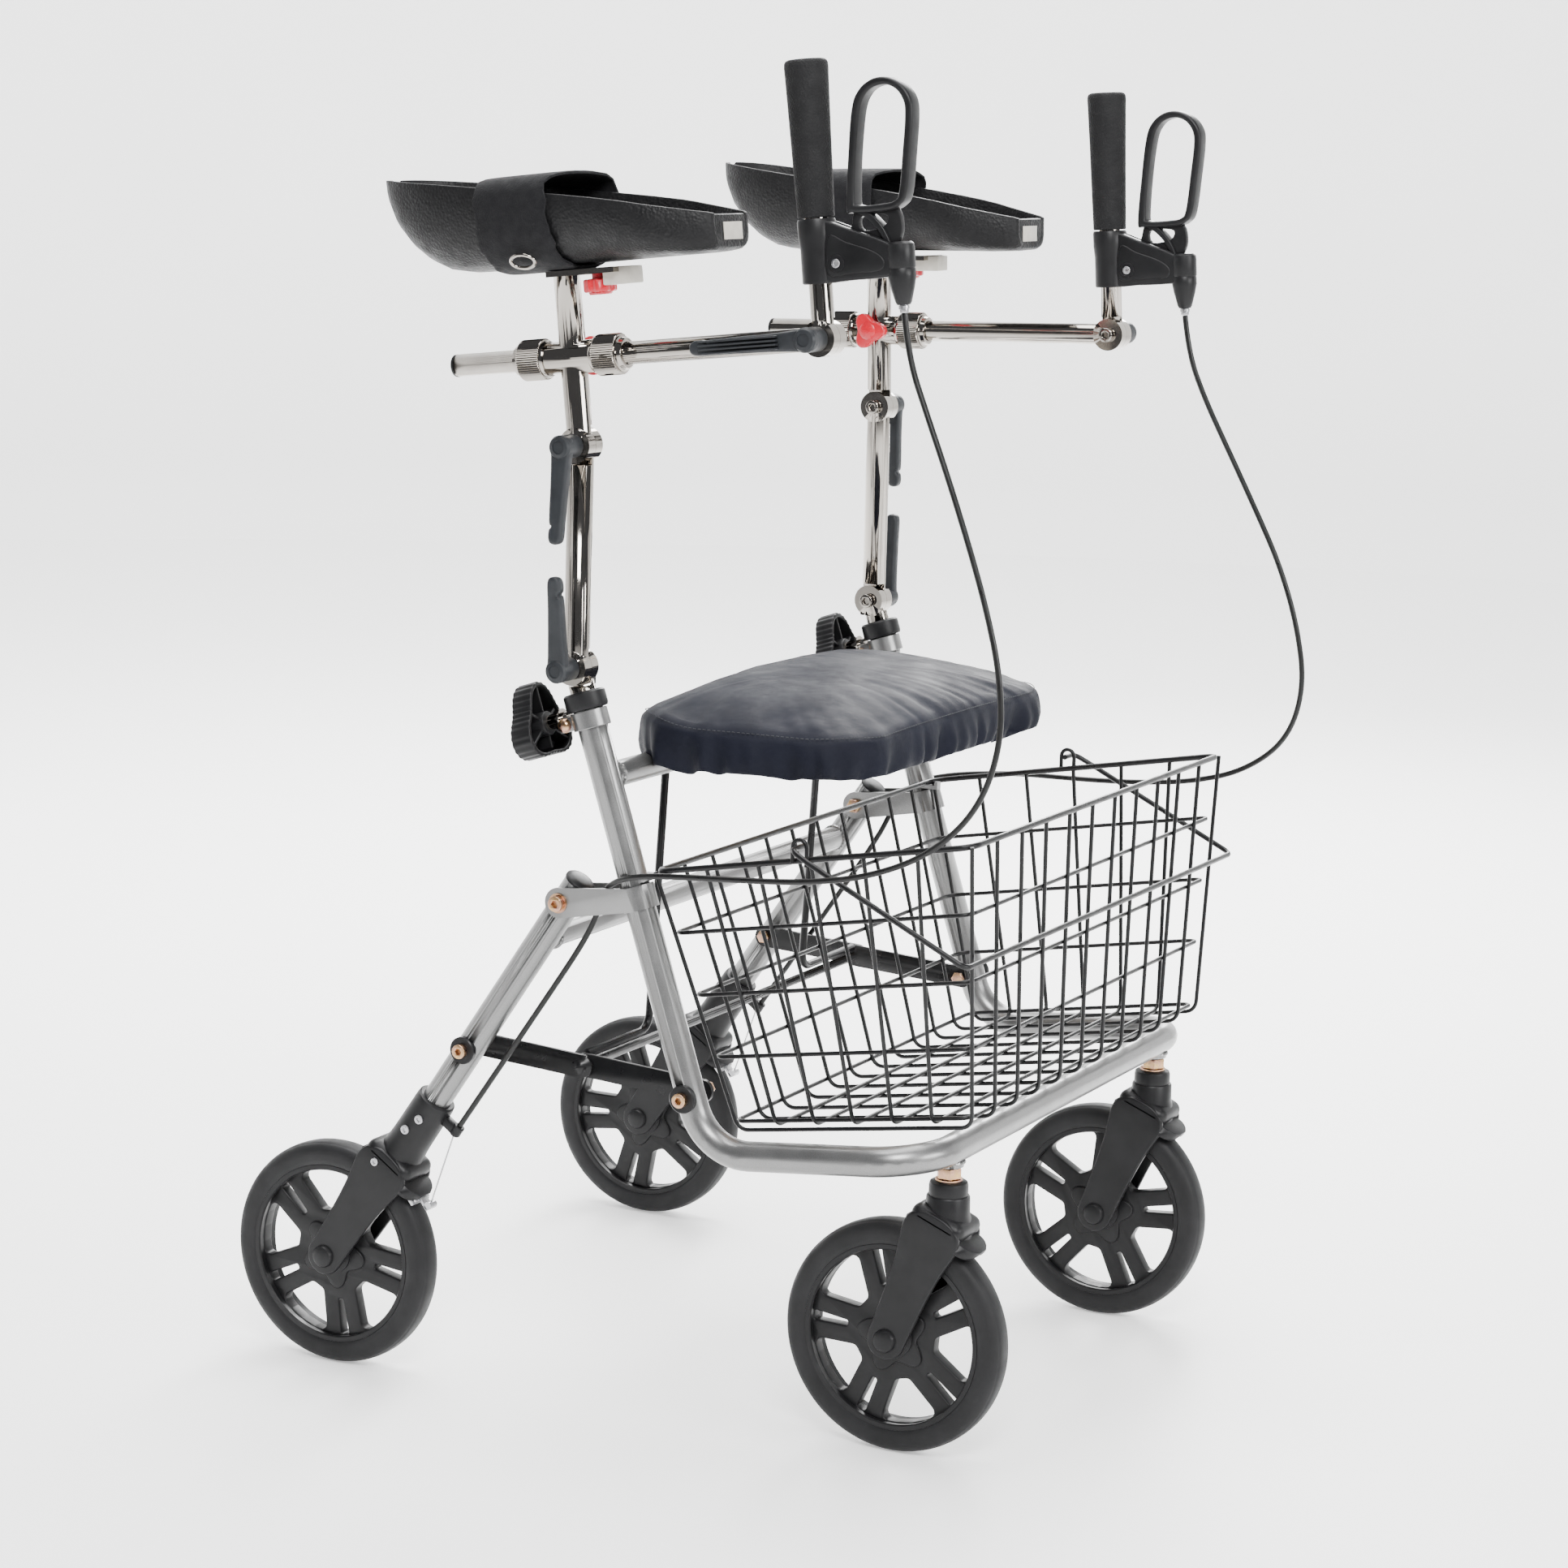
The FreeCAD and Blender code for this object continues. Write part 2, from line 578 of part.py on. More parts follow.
def rear_fasteners():
    """Rear brace bolts and the rear axles."""
    y, z = leg_point(d.rear_link_reach)
    pieces = []
    for side, word in SIDES:
        tube_out = d.track_half + d.tube_radius
        link_in = d.track_half - d.tube_radius - link_layer(0) - d.link_thick
        pieces.append(fuse("link_bolt_" + word, [
            outward_rod("link_bolt_shank_" + word, side, d.bolt_radius, link_in - 1.5, tube_out + 4, y, z),
            cut("link_spacer_" + word, outward_rod("link_spacer_disc_" + word, side, d.spacer_radius,
                                                   tube_out - 4,
                                                   tube_out + 3, y, z),
                [tube_room("link_spacer_room_" + word, side, "leg")]),
            outward_rod("link_bolt_head_" + word, side, 6.5, tube_out + 2.5, tube_out + 9, y, z),
            outward_rod("link_bolt_nut_" + word, side, 6.5, link_in - 4, link_in - 0.3, y, z)]))
        pieces.append(outward_rod("rear_axle_" + word, side, d.axle_radius,
                                  d.track_half - d.fork_gap_half - d.blade_thick - 2,
                                  d.track_half + d.fork_gap_half + d.blade_thick + 2, d.rear_axle_y,
                                  d.wheel_radius))
    return sub_part("rear_fasteners", fuse("rear_fasteners", pieces))


def links(label, layer, start, end):
    """Flat brace bars, one on each side, from a bolted end to the middle pivot."""
    span = Vector(0, end[0] - start[0], end[1] - start[1])
    turn = Rotation(Vector(1, 0, 0), span, Vector(0, -span.z, span.y), "XYZ")
    half = d.link_width * 0.5
    bars = []
    for side, word in SIDES:
        outer = d.track_half - d.tube_radius - link_layer(layer)
        low, high = sided(side, outer - d.link_thick, outer)
        bar = primitive("Box", label + "_bar_" + word, (0, 0, 0), turn, Length=d.link_thick,
                        Width=span.Length,
                        Height=d.link_width)
        corner = Vector(number(low), start[0], start[1]) - turn.multVec(Vector(0, 0, half.value))
        bar.Placement = Placement(corner, turn)
        ends = [outward_rod("%s_end_%d_%s" % (label, index, word), side, half, outer - d.link_thick, outer,
                            *spot)
                for index, spot in enumerate((start, end))]
        bore = outward_rod(label + "_bore_" + word, side, d.bolt_radius + d.running_gap,
                           outer - d.link_thick - 5, outer + 5, *start)
        bars.append(cut(label + "_" + word, fuse(label + "_solid_" + word, [bar] + ends), [bore]))
    return bars


def brace_links():
    middle = brace_middle()
    rear = leg_point(d.rear_link_reach)
    front = (d.front_link_y.value, d.front_link_z.value)
    inner = d.track_half - d.tube_radius - link_layer(1) - d.link_thick
    cross = rod_x("brace_cross", 4, -inner - 1, inner + 1, *middle)
    sub_part("front_links", fuse("front_links", links("front_link", 1, front, middle) + [cross]))
    outer = d.track_half - d.tube_radius - link_layer(0)
    heads = [outward_rod("middle_bolt_" + word, side, 6.5, outer - 0.5, outer + 5, *middle)
             for side, word in SIDES]
    sub_part("rear_links", fuse("rear_links", links("rear_link", 0, rear, middle) + heads))


# ---------------------------------------------------------------- forks and wheels

def fork(name, x, y, reach, tip):
    """Two blades from an axle to a crown over the wheel; tip is the unit direction from axle to crown."""
    turn = Rotation(Vector(1, 0, 0), Vector(0, tip.z, -tip.y), tip, "XYZ")
    axle = Vector(number(x), number(y), d.wheel_radius.value)
    outer = d.fork_gap_half + d.blade_thick
    wide = d.blade_half_width
    top = reach + d.crown_height
    solids = [rod_x(name + "_ends", wide + 3, x - outer, x + outer, y, d.wheel_radius)]
    blade = primitive("Box", name + "_blades", (0, 0, 0), turn, Length=outer * 2, Width=wide * 2,
                      Height=top)
    blade.Placement = Placement(axle + turn.multVec(Vector(-outer.value, -wide.value, 0)), turn)
    solids.append(blade)
    swing = d.wheel_radius + d.crown_clear
    hollows = [rod_x(name + "_wheel_room", swing, x - d.fork_gap_half, x + d.fork_gap_half, y,
                     d.wheel_radius)]
    return solids, hollows, axle + tip * top.value


def rear_forks():
    """Sleeves on the rear legs, crowns over the wheels, blades and cable stops."""
    down = leg_direction()
    up = down * -1
    pieces = []
    for side, word in SIDES:
        name = "rear_fork_" + word
        x = side * d.track_half
        solids, hollows, crown = fork(name, x, d.rear_axle_y, d.wheel_radius + d.crown_clear, up)
        solids.append(cylinder(name + "_sleeve", d.sleeve_radius, d.sleeve_length + 6,
                               tuple(crown - up * 6),
                               tuple(up)))
        hollows.append(cylinder(name + "_seat", d.tube_radius, 200, tuple(crown), tuple(up)))
        hollows.append(rod_x(name + "_axle_bore", d.axle_radius, x - 30, x + 30, d.rear_axle_y,
                             d.wheel_radius))
        stop = cable_stop_point(side)
        solids.append(cylinder(name + "_stop", 5, 9, tuple(stop + down * 9), tuple(up)))
        arm_turn = Rotation(Vector(1, 0, 0), Vector(0, up.z, -up.y), up, "XYZ")
        arm = primitive("Box", name + "_stop_arm", (0, 0, 0), arm_turn, Length=8, Width=24, Height=9)
        arm.Placement = Placement(stop + down * 9 + arm_turn.multVec(Vector(-4, 0, 0)), arm_turn)
        solids.append(arm)
        pieces.append(cut(name, fuse(name + "_solids", solids), hollows))
    return sub_part("rear_forks", fuse("rear_forks", pieces))


def cable_stop_point(side):
    """Where the brake cable's sheath ends, in front of the fork's sleeve."""
    up = leg_direction() * -1
    forward = Vector(0, -up.z, up.y)
    spot = Vector(side * d.track_half.value, d.fold_pivot_y.value, d.fold_pivot_z.value)
    return spot - up * (sleeve_start() - 26) + forward * 31


def caster_forks():
    for side, word in SIDES:
        name = "caster_fork_" + word
        x = side * d.caster_track
        stem_y = d.front_axle_y - d.caster_trail
        stem_low = d.stem_top_z - d.stem_length
        tip = Vector(0, -d.caster_trail.value, stem_low.value - d.wheel_radius.value + 14).normalize()
        solids, hollows, crown = fork(name, x, d.front_axle_y, d.wheel_radius + d.crown_clear - 12, tip)
        solids.append(cylinder(name + "_stem", d.stem_radius, d.stem_length + 12,
                               (x, stem_y, stem_low - 12)))
        hollows.append(cylinder(name + "_pin_bore", d.stem_pin_radius + d.running_gap, 60,
                                (x, stem_y, d.stem_top_z - 35)))
        hollows.append(cylinder(name + "_trim", 80, 60, (x, stem_y, d.stem_top_z)))
        body = cut(name + "_body", fuse(name + "_solids", solids), hollows)
        outer = d.fork_gap_half + d.blade_thick + 2
        axle = rod_x(name + "_axle", d.axle_radius, x - outer, x + outer, d.front_axle_y, d.wheel_radius)
        sub_part(name, fuse(name, [body, axle]))


def rim_radius():
    return d.wheel_radius - d.tyre_depth


def wheel_rim(label, x, y):
    """A turned rim with five double spokes left between cut openings."""
    body = doc.addObject("PartDesign::Body", label)
    profile = plane_sketch(body, "XZ_Plane", label + "_outline")
    bore = d.axle_radius + d.running_gap
    band_in = rim_radius() - d.rim_band
    band_half = d.tyre_half - 1.5
    half = [(bore, d.hub_half), (d.hub_radius, d.hub_half), (d.hub_radius, d.web_half),
            (band_in, d.web_half),
            (band_in, band_half), (rim_radius(), band_half)]
    outline(profile, half + [(r, -1.0 * z) for r, z in reversed(half)])
    turned_rim = body.newObject("PartDesign::Revolution", label + "_turned")
    turned_rim.Profile = profile
    turned_rim.ReferenceAxis = (profile, ["V_Axis"])
    turned_rim.Angle = 360
    doc.recompute()
    inner = d.petal_radius
    rim = band_in - 1.5
    near = math.radians(23)
    wide = [(inner * math.cos(near), inner * (-math.sin(near))),
            (rim * math.cos(near), rim * (-math.sin(near))),
            (rim, 0.0), (rim * math.cos(near), rim * math.sin(near)),
            (inner * math.cos(near), inner * math.sin(near))]
    slot_in = inner + 12
    turn = math.radians(36)
    slot = [(slot_in, -3.0), (rim, -7.0), (rim, 7.0), (slot_in, 3.0)]
    slot = [(a * math.cos(turn) - b * math.sin(turn), a * math.sin(turn) + b * math.cos(turn))
            for a, b in slot]
    for word, points in (("opening", wide), ("slot", slot)):
        sketch = plane_sketch(body, "XY_Plane", "%s_%s" % (label, word))
        outline(sketch, points)
        pocket = body.newObject("PartDesign::Pocket", "%s_%s_cut" % (label, word))
        pocket.Profile = sketch
        pocket.Type = "ThroughAll"
        pocket.Midplane = True
        doc.recompute()
        pattern = body.newObject("PartDesign::PolarPattern", "%s_%ss" % (label, word))
        pattern.Originals = [pocket]
        pattern.Axis = (sketch, ["N_Axis"])
        pattern.Angle = 360
        pattern.Occurrences = 5
        body.Tip = pattern
        doc.recompute()
    place(body, (x, y, d.wheel_radius), facing((1, 0, 0)))
    return sub_part(label, body)


def tyre(label, x, y):
    tread = d.wheel_radius
    half = [(rim_radius(), d.tyre_half - 1.5), (rim_radius() + 9, d.tyre_half),
            (tread - 4, d.tyre_half - 3),
            (tread, d.tyre_half - 9)]
    points = half + [(r, -1.0 * z) for r, z in reversed(half)]
    return sub_part(label, turned(label, points, (x, y, d.wheel_radius), facing((1, 0, 0))))


def wheels():
    for side, word in SIDES:
        for end, track, y in (("rear", d.track_half, d.rear_axle_y),
                              ("front", d.caster_track, d.front_axle_y)):
            wheel_rim("%s_rim_%s" % (end, word), side * track, y)
            tyre("%s_tyre_%s" % (end, word), side * track, y)


def brake_shoes():
    """Metal shoes held just off the rear tyres, each with a tongue towards its cable."""
    up = leg_direction() * -1
    forward = Vector(0, -up.z, up.y)
    share = (d.blade_half_width.value + d.shoe_ahead.value) / d.wheel_radius.value
    direction = forward * share + up * math.sqrt(1 - share * share)
    for side, word in SIDES:
        axle = Vector(side * d.track_half.value, d.rear_axle_y.value, d.wheel_radius.value)
        turn = Rotation(Vector(1, 0, 0), Vector(0, direction.z, -direction.y), direction, "XYZ")
        face = axle + direction * (d.wheel_radius.value + 1.6)
        pad = primitive("Box", "shoe_pad_" + word, (0, 0, 0), turn, Length=26, Width=16, Height=6)
        pad.Placement = Placement(face + turn.multVec(Vector(-13, -8, 0)), turn)
        tongue = primitive("Box", "shoe_tongue_" + word, (0, 0, 0), turn, Length=10, Width=22, Height=4)
        tongue.Placement = Placement(face + turn.multVec(Vector(-5, -18, 5)), turn)
        sub_part("brake_shoe_" + word, fuse("brake_shoe_" + word, [pad, tongue]))


# ---------------------------------------------------------------- seat

def seat_outline(inset):
    return [(inset - d.seat_rear_half, d.seat_rear_y - inset),
            (inset - d.seat_front_half, d.seat_front_y + inset),
            (d.seat_front_half - inset, d.seat_front_y + inset),
            (d.seat_rear_half - inset, d.seat_rear_y - inset)]


def seat():
    """A stiff board under a padded cushion whose top falls towards the front."""
    thick = d.seat_rear_top_z - d.seat_bottom_z
    board_room = padded("seat_board_room", "XY_Plane", seat_outline(d.board_inset - 0.3),
                        d.board_thick * 2 + 0.6,
                        (0, 0, d.seat_bottom_z))
    cushion = padded("seat_pad", "XY_Plane", seat_outline(0.0), thick * 2, (0, 0, d.seat_bottom_z),
                     fillet=d.seat_corner)
    fall = math.atan2((d.seat_rear_top_z - d.seat_front_top_z).value,
                      (d.seat_rear_y - d.seat_front_y).value)
    slope = Rotation(Vector(1, 0, 0), math.degrees(fall))
    above = primitive("Box", "seat_above", (0, 0, 0), slope, Length=700, Width=600, Height=200)
    rear_top = Vector(-350, d.seat_rear_y.value, d.seat_rear_top_z.value)
    above.Placement = Placement(rear_top + slope.multVec(Vector(0, -500, 0)), slope)
    below = block("seat_below", (-350, -500, d.seat_bottom_z - 200), (350, 200, d.seat_bottom_z))
    sub_part("seat_cushion", cut("seat_cushion", cushion, [above, below, board_room]))
    board = padded("seat_board", "XY_Plane", seat_outline(d.board_inset), d.board_thick,
                   (0, 0, d.seat_bottom_z + d.board_thick * 0.5))
    sub_part("seat_board", board)


def pull_bar():
    """The rod that lifts the seat with the brace: two uprights with feet bent outward."""
    inner = (d.track_half - d.tube_radius - link_layer(1) - d.link_thick).value - 3
    foot_y, foot_z = d.pull_foot_y.value, d.pull_foot_z.value
    cross_y = upright_y(d.seat_cross_z.value)
    top_z = d.seat_bottom_z.value - 0.2
    clear = cross_y + d.cross_radius.value + d.pull_rod_radius.value + 1.5
    top_y = clear + (top_z - d.seat_cross_z.value) * (clear - foot_y) / (d.seat_cross_z.value - foot_z)
    rods = []
    for side, word in SIDES:
        route = [(side * inner, foot_y, foot_z), (side * d.pull_rod_x.value, foot_y, foot_z),
                 (side * d.pull_rod_x.value, top_y, top_z)]
        rods.append(bent_rod("pull_rod_" + word, route, 14, d.pull_rod_radius.value))
    tie = rod_x("pull_tie", d.pull_rod_radius, 1 - d.pull_rod_x, d.pull_rod_x - 1, top_y + 0.2, top_z - 8)
    sub_part("pull_bar", fuse("pull_bar", rods + [tie]))


# ---------------------------------------------------------------- basket

def wire(start, end, radius):
    run = end - start
    return Part.makeCylinder(radius, run.Length, start, run)


def grille(corners, across, rows, radius, lift):
    """Wires across a four-cornered panel: corners are two along the top, then the two below them."""
    a, b, c, e = corners
    normal = (b - a).cross(c - a).normalize() * lift
    wires = []
    for index in range(across):
        share = index / (across - 1)
        wires.append(wire(a + (b - a) * share, c + (e - c) * share, radius))
    for index in range(1, rows + 1):
        share = index / rows
        left = a + (c - a) * share + normal
        right = b + (e - b) * share + normal
        wires.append(wire(left, right, radius))
    return wires[0].multiFuse(wires[1:])


def basket_corners():
    top = d.basket_top_half.value
    return {
        "rear": Vector(top, d.basket_rear_y.value, d.basket_rear_z.value),
        "front": Vector(top, d.basket_front_y.value, d.basket_front_z.value),
        "floor_rear": Vector(d.basket_floor_rear_half.value, d.basket_floor_rear_y.value,
                             d.basket_floor_rear_z.value),
        "floor_front": Vector(d.basket_floor_front_half.value, d.basket_floor_front_y.value,
                              d.basket_floor_front_z.value)}


def mirrored(spot):
    return Vector(-spot.x, spot.y, spot.z)


def between(start, end, trim_start, trim_end):
    """The run from start to end with a little taken off each end."""
    heading = (end - start).normalize()
    return start + heading * trim_start, end - heading * trim_end


def wire_basket():
    """A rim and five panels of wire, each panel a solid of its own."""
    spots = basket_corners()
    thin = d.grille_wire.value
    lift = thin * 1.5
    drop = d.rim_wire.value + 0.2
    pieces = []
    for end, inward in (("rear", -1), ("front", 1)):
        top, low = between(spots[end], spots["floor_" + end], drop, 0)
        pieces.append(grille([mirrored(top), top, mirrored(low), low], 12, 5, thin, lift * inward))
    rear_top, rear_low = between(spots["rear"], spots["floor_rear"], drop, 2 * thin + 0.6)
    front_top, front_low = between(spots["front"], spots["floor_front"], drop, 2 * thin + 0.6)
    clear = 2 * thin + 0.6
    for side in (-1, 1):
        corners = []
        for rear, front in ((rear_top, front_top), (rear_low, front_low)):
            first, last = between(rear, front, clear + 3, clear + 3)
            corners += [first, last]
        corners = [Vector(side * spot.x, spot.y, spot.z) for spot in corners]
        pieces.append(grille(corners, 6, 5, thin, lift * -side))
    rear, front = between(spots["floor_rear"], spots["floor_front"], clear + 2.6, clear + 2.6)
    inset = Vector(clear, 0, 0)
    pieces.append(grille([mirrored(rear - inset), rear - inset, mirrored(front - inset), front - inset],
                         12, 5, thin,
                         lift))
    pieces += basket_rim(spots)
    sub_part("wire_basket", shaped("wire_basket", Part.makeCompound(pieces)))


def basket_rim(spots):
    """The thick top wire in four runs; the side runs carry an upright loop for the bail."""
    radius = d.rim_wire.value
    rear, front = spots["rear"], spots["front"]
    runs = []
    for corner in (rear, front):
        first, last = between(mirrored(corner), corner, radius + 0.1, radius + 0.1)
        runs.append(wire(first, last, radius))
    rise = (d.bail_pivot_y.value - rear.y) / (front.y - rear.y)
    rim_z = rear.z + (front.z - rear.z) * rise
    thin = d.grille_wire.value
    for side in (-1, 1):
        start, end = (Vector(side * spot.x, spot.y, spot.z) for spot in (rear, front))
        centre = Vector(side * (d.basket_top_half.value + 4), d.bail_pivot_y.value, d.bail_pivot_z.value)
        loop = Part.makeTorus(6.5, thin, centre, Vector(1, 0, 0))
        stem = wire(Vector(start.x, centre.y, rim_z), Vector(centre.x, centre.y, centre.z - 5.5), thin)
        side_run = [Part.makeSphere(radius, start), Part.makeSphere(radius, end), loop, stem]
        runs.append(wire(start, end, radius).multiFuse(side_run))
    return runs


def basket_bail():
    """The carrying handle, folded down in front of the basket."""
    pivot = Vector(d.bail_half.value, d.bail_pivot_y.value, d.bail_pivot_z.value)
    corner = Vector(d.bail_half.value, d.bail_front_y.value, d.bail_front_z.value)
    eye = Vector(d.basket_top_half.value - 3, pivot.y, pivot.z)
    half = [eye, pivot, corner]
    route = half + [mirrored(spot) for spot in reversed(half)]
    radii = [5.0, 9.0, 9.0, 5.0]
    sub_part("basket_bail", shaped("basket_bail", swept(rounded_wire(route, radii), d.bail_wire.value)))


# ---------------------------------------------------------------- forearm arms

def arm_settings(side):
    right = side < 0
    return (d.arm_tilt_right if right else d.arm_tilt_left,
            d.tube_ahead_right if right else d.tube_ahead_left,
            d.handle_lean_right if right else d.handle_lean_left)


def lap_span(side, outer):
    """Inner or outer half of a half-lap joint, as distances off the arm's plane."""
    near, far = (d.lap_gap, d.eye_half) if outer else (-1.0 * d.eye_half, -1.0 * d.lap_gap)
    return (near, far) if side > 0 else (-1.0 * far, -1.0 * near)


def eye(name, side, outer, y=0.0, z=0.0):
    low, high = lap_span(side, outer)
    return rod_x(name, d.eye_radius, low, high, y, z)


def lap_room(name, side, outer, low, high):
    """The half of a bar that is cut away for the other eye."""
    near, far = lap_span(side, not outer)
    if number(far) > 0:
        return block(name, (0 - d.lap_gap, low[0], low[1]), (20, high[0], high[1]))
    return block(name, (-20, low[0], low[1]), (d.lap_gap, high[0], high[1]))


def eye_bore(name, y=0.0, z=0.0):
    return rod_x(name, d.bolt_radius + d.running_gap, -20, 20, y, z)


def arm_base(side, which):
    y = d.lower_joint_y
    z = {"lower": d.lower_joint_z, "upper": d.upper_joint_z}[which]
    return side * d.track_half, y, z


def handle_base(side):
    """Placement of the handle's own frame at the front end of the handle tube."""
    angle, ahead, lean = arm_settings(side)
    turn = tilt(angle.value)
    x, y, z = [number(value) for value in arm_base(side, "upper")]
    return Vector(x, y, z) + turn.multVec(Vector(0, -ahead.value, d.sleeve_rise.value)), tilt(lean.value)


def height_post(side, word):
    """The post that slides in the upright, with its eye at the lower tilt joint."""
    name = "height_post_" + word
    up = upright_direction()
    base = arm_base(side, "lower")
    joint = Vector(*[number(value) for value in base])
    top = Vector(joint.x, d.upright_top_y.value, d.upright_top_z.value)
    post = cylinder(name + "_post", d.post_radius, d.post_in_frame + 12,
                    tuple(top - up * d.post_in_frame.value),
                    tuple(up))
    low, high = [joint.x + number(value) for value in lap_span(side, False)]
    head = rod_x(name + "_eye", d.eye_radius, low, high, base[1], base[2])
    room_low, room_high = (joint.x - 0.15, joint.x + 25) if side > 0 else (joint.x - 25, joint.x + 0.15)
    room = block(name + "_room", (room_low, joint.y - 25, joint.z - d.eye_radius.value - 1.5),
                 (room_high, joint.y + 25, joint.z + 30))
    neck = block(name + "_neck", (min(low, high), joint.y - 12, joint.z - 14),
                 (max(low, high), joint.y + 8, joint.z))
    bore = rod_x(name + "_bore", d.bolt_radius + d.running_gap, joint.x - 20, joint.x + 20, base[1],
                 base[2])
    inside = cylinder(name + "_inside", d.post_radius - d.post_wall, d.post_in_frame - 4,
                      tuple(top - up * (d.post_in_frame.value + 1)), tuple(up))
    sub_part(name, cut(name, fuse(name + "_solids", [post, head, neck]), [room, bore, inside]))


def link_post(side, word):
    """The upright link between the two tilt joints."""
    name = "link_post_" + word
    length = d.upper_joint_z - d.lower_joint_z
    reach = d.eye_radius + 1.5
    solids = [cylinder(name + "_bar", d.post_radius, length, (0, 0, 0)), eye(name + "_low_eye", side, True),
              eye(name + "_high_eye", side, False, 0.0, length)]
    hollows = [lap_room(name + "_low_room", side, True, (-20, -20), (20, reach)),
               lap_room(name + "_high_room", side, False, (-20, length - reach), (20, length + 20)),
               eye_bore(name + "_low_bore"), eye_bore(name + "_high_bore", 0.0, length)]
    item = cut(name, fuse(name + "_solids", solids), hollows)
    sub_part(name, place(item, arm_base(side, "lower")))


def clamp_lever(label, side, base, turn, arm_turn, arm_length):
    """A clamping lever: a hub with a tapered arm outside the joint, its bolt through both eyes."""
    start = d.eye_half + 0.4
    hub_end = start + 24
    shank = outward_rod(label + "_bolt", side, d.bolt_radius, 0 - d.eye_half - 1, start + 2, 0.0, 0.0)
    head = outward_rod(label + "_head", side, 6.5, 0 - d.eye_half - 6, 0 - d.eye_half - 0.3, 0.0, 0.0)
    hub = outward_rod(label + "_hub", side, 10.5, start, hub_end, 0.0, 0.0)
    low = sided(side, hub_end - LEVER_THICKNESS, hub_end)[0]
    arm = primitive("Wedge", label + "_arm", (low, 0, 0), Rotation())
    half_root, half_tip = 9.0, 7.0
    arm.Xmin, arm.Xmax = 0, LEVER_THICKNESS
    arm.X2min, arm.X2max = arm.Xmin, arm.Xmax
    arm.Ymin, arm.Ymax = 0, arm_length
    arm.Zmin, arm.Zmax = -half_root, half_root
    arm.Z2min, arm.Z2max = -half_tip, half_tip
    arm.Placement = Placement(Vector(number(low), 0, 0), Rotation(Vector(1, 0, 0), arm_turn))
    item = fuse(label, [shank, head, hub, arm])
    sub_part(label, place(item, base, turn))


def arm_cross(side, word):
    """The post on the upper tilt joint with the cross sleeve that holds the handle tube."""
    name = "arm_cross_" + word
    angle = arm_settings(side)[0]
    reach = d.eye_radius + 1.5
    rise = d.sleeve_rise
    solids = [cylinder(name + "_bar", d.post_radius, d.post_top_rise, (0, 0, 0)),
              eye(name + "_eye", side, True),
              cylinder(name + "_sleeve", d.cross_sleeve_radius, d.sleeve_half * 2,
                       (0, -1.0 * d.sleeve_half, rise),
                       (0, 1, 0)),
              block(name + "_top_plate", (-20, -56, d.post_top_rise - 1), (20, 8, d.post_top_rise + 3.5)),
              outward_rod(name + "_screw_boss", -side, 6, 8, d.cross_sleeve_radius + 3, 0.0, rise)]
    hollows = [lap_room(name + "_room", side, True, (-20, -20), (20, reach)), eye_bore(name + "_eye_bore"),
               cylinder(name + "_tube_bore", d.handle_tube_radius + d.running_gap, 200, (0, -100, rise),
                        (0, 1, 0))]
    item = cut(name, fuse(name + "_solids", solids), hollows)
    sub_part(name, place(item, arm_base(side, "upper"), tilt(angle.value)))


def collet_rings(side, word):
    """Knurled rings with stepped collars at both ends of the cross sleeve."""
    name = "collet_rings_" + word
    angle = arm_settings(side)[0]
    bore = d.handle_tube_radius + d.running_gap
    start = d.sleeve_half
    ring_end = start + d.ring_length
    outlines = [(bore, start), (d.ring_radius, start), (d.ring_radius, ring_end),
                (d.cross_sleeve_radius, ring_end),
                (d.cross_sleeve_radius - 1, ring_end + 5), (bore, ring_end + 5)]
    rings = []
    for index, heading in enumerate(((0, -1, 0), (0, 1, 0))):
        rings.append(turned("%s_%d" % (name, index), outlines, (0, 0, d.sleeve_rise), facing(heading)))
    item = fuse(name, rings)
    sub_part(name, place(item, arm_base(side, "upper"), tilt(angle.value)))


def red_knobs(side, word):
    """The wing knob beside the cross sleeve and the star knob under the armrest."""
    name = "red_knobs_" + word
    angle = arm_settings(side)[0]
    near = d.cross_sleeve_radius + 3
    hub = outward_rod(name + "_hub", -side, 8, near, near + 10, 0.0, d.sleeve_rise)
    low = sided(-side, near + 2, near + 9)[0]
    wing = primitive("Prism", name + "_wing", (low, 0.0, d.sleeve_rise), facing((1, 0, 0)),
                     Circumradius=17, Height=7)
    wing.Polygon = 3
    star_top = d.post_top_rise - 1.0
    star = cylinder(name + "_star", 14.5, 12, (0, -31, star_top - 16))
    stem = cylinder(name + "_star_stem", 6, 5, (0, -31, star_top - 5))
    item = fuse(name, [fuse(name + "_wing_knob", [hub, wing]), fuse(name + "_star_knob", [star, stem])])
    sub_part(name, place(item, arm_base(side, "upper"), tilt(angle.value)))


def handle_tube(side, word):
    """The chrome tube that slides in the sleeve, with an eye for the handle and a plug behind."""
    name = "handle_tube_" + word
    angle, ahead = arm_settings(side)[:2]
    reach = d.eye_radius + 1.5
    rise = d.sleeve_rise
    solids = [cylinder(name + "_bar", d.handle_tube_radius, ahead + d.tube_behind, (0, -1.0 * ahead, rise),
                       (0, 1, 0)),
              eye(name + "_eye", side, False, -1.0 * ahead, rise)]
    hollows = [lap_room(name + "_room", side, False, (-1.0 * ahead - 20, rise - 20),
                        (reach - ahead, rise + 20)),
               eye_bore(name + "_bore", -1.0 * ahead, rise)]
    item = cut(name, fuse(name + "_solids", solids), hollows)
    sub_part(name, place(item, arm_base(side, "upper"), tilt(angle.value)))


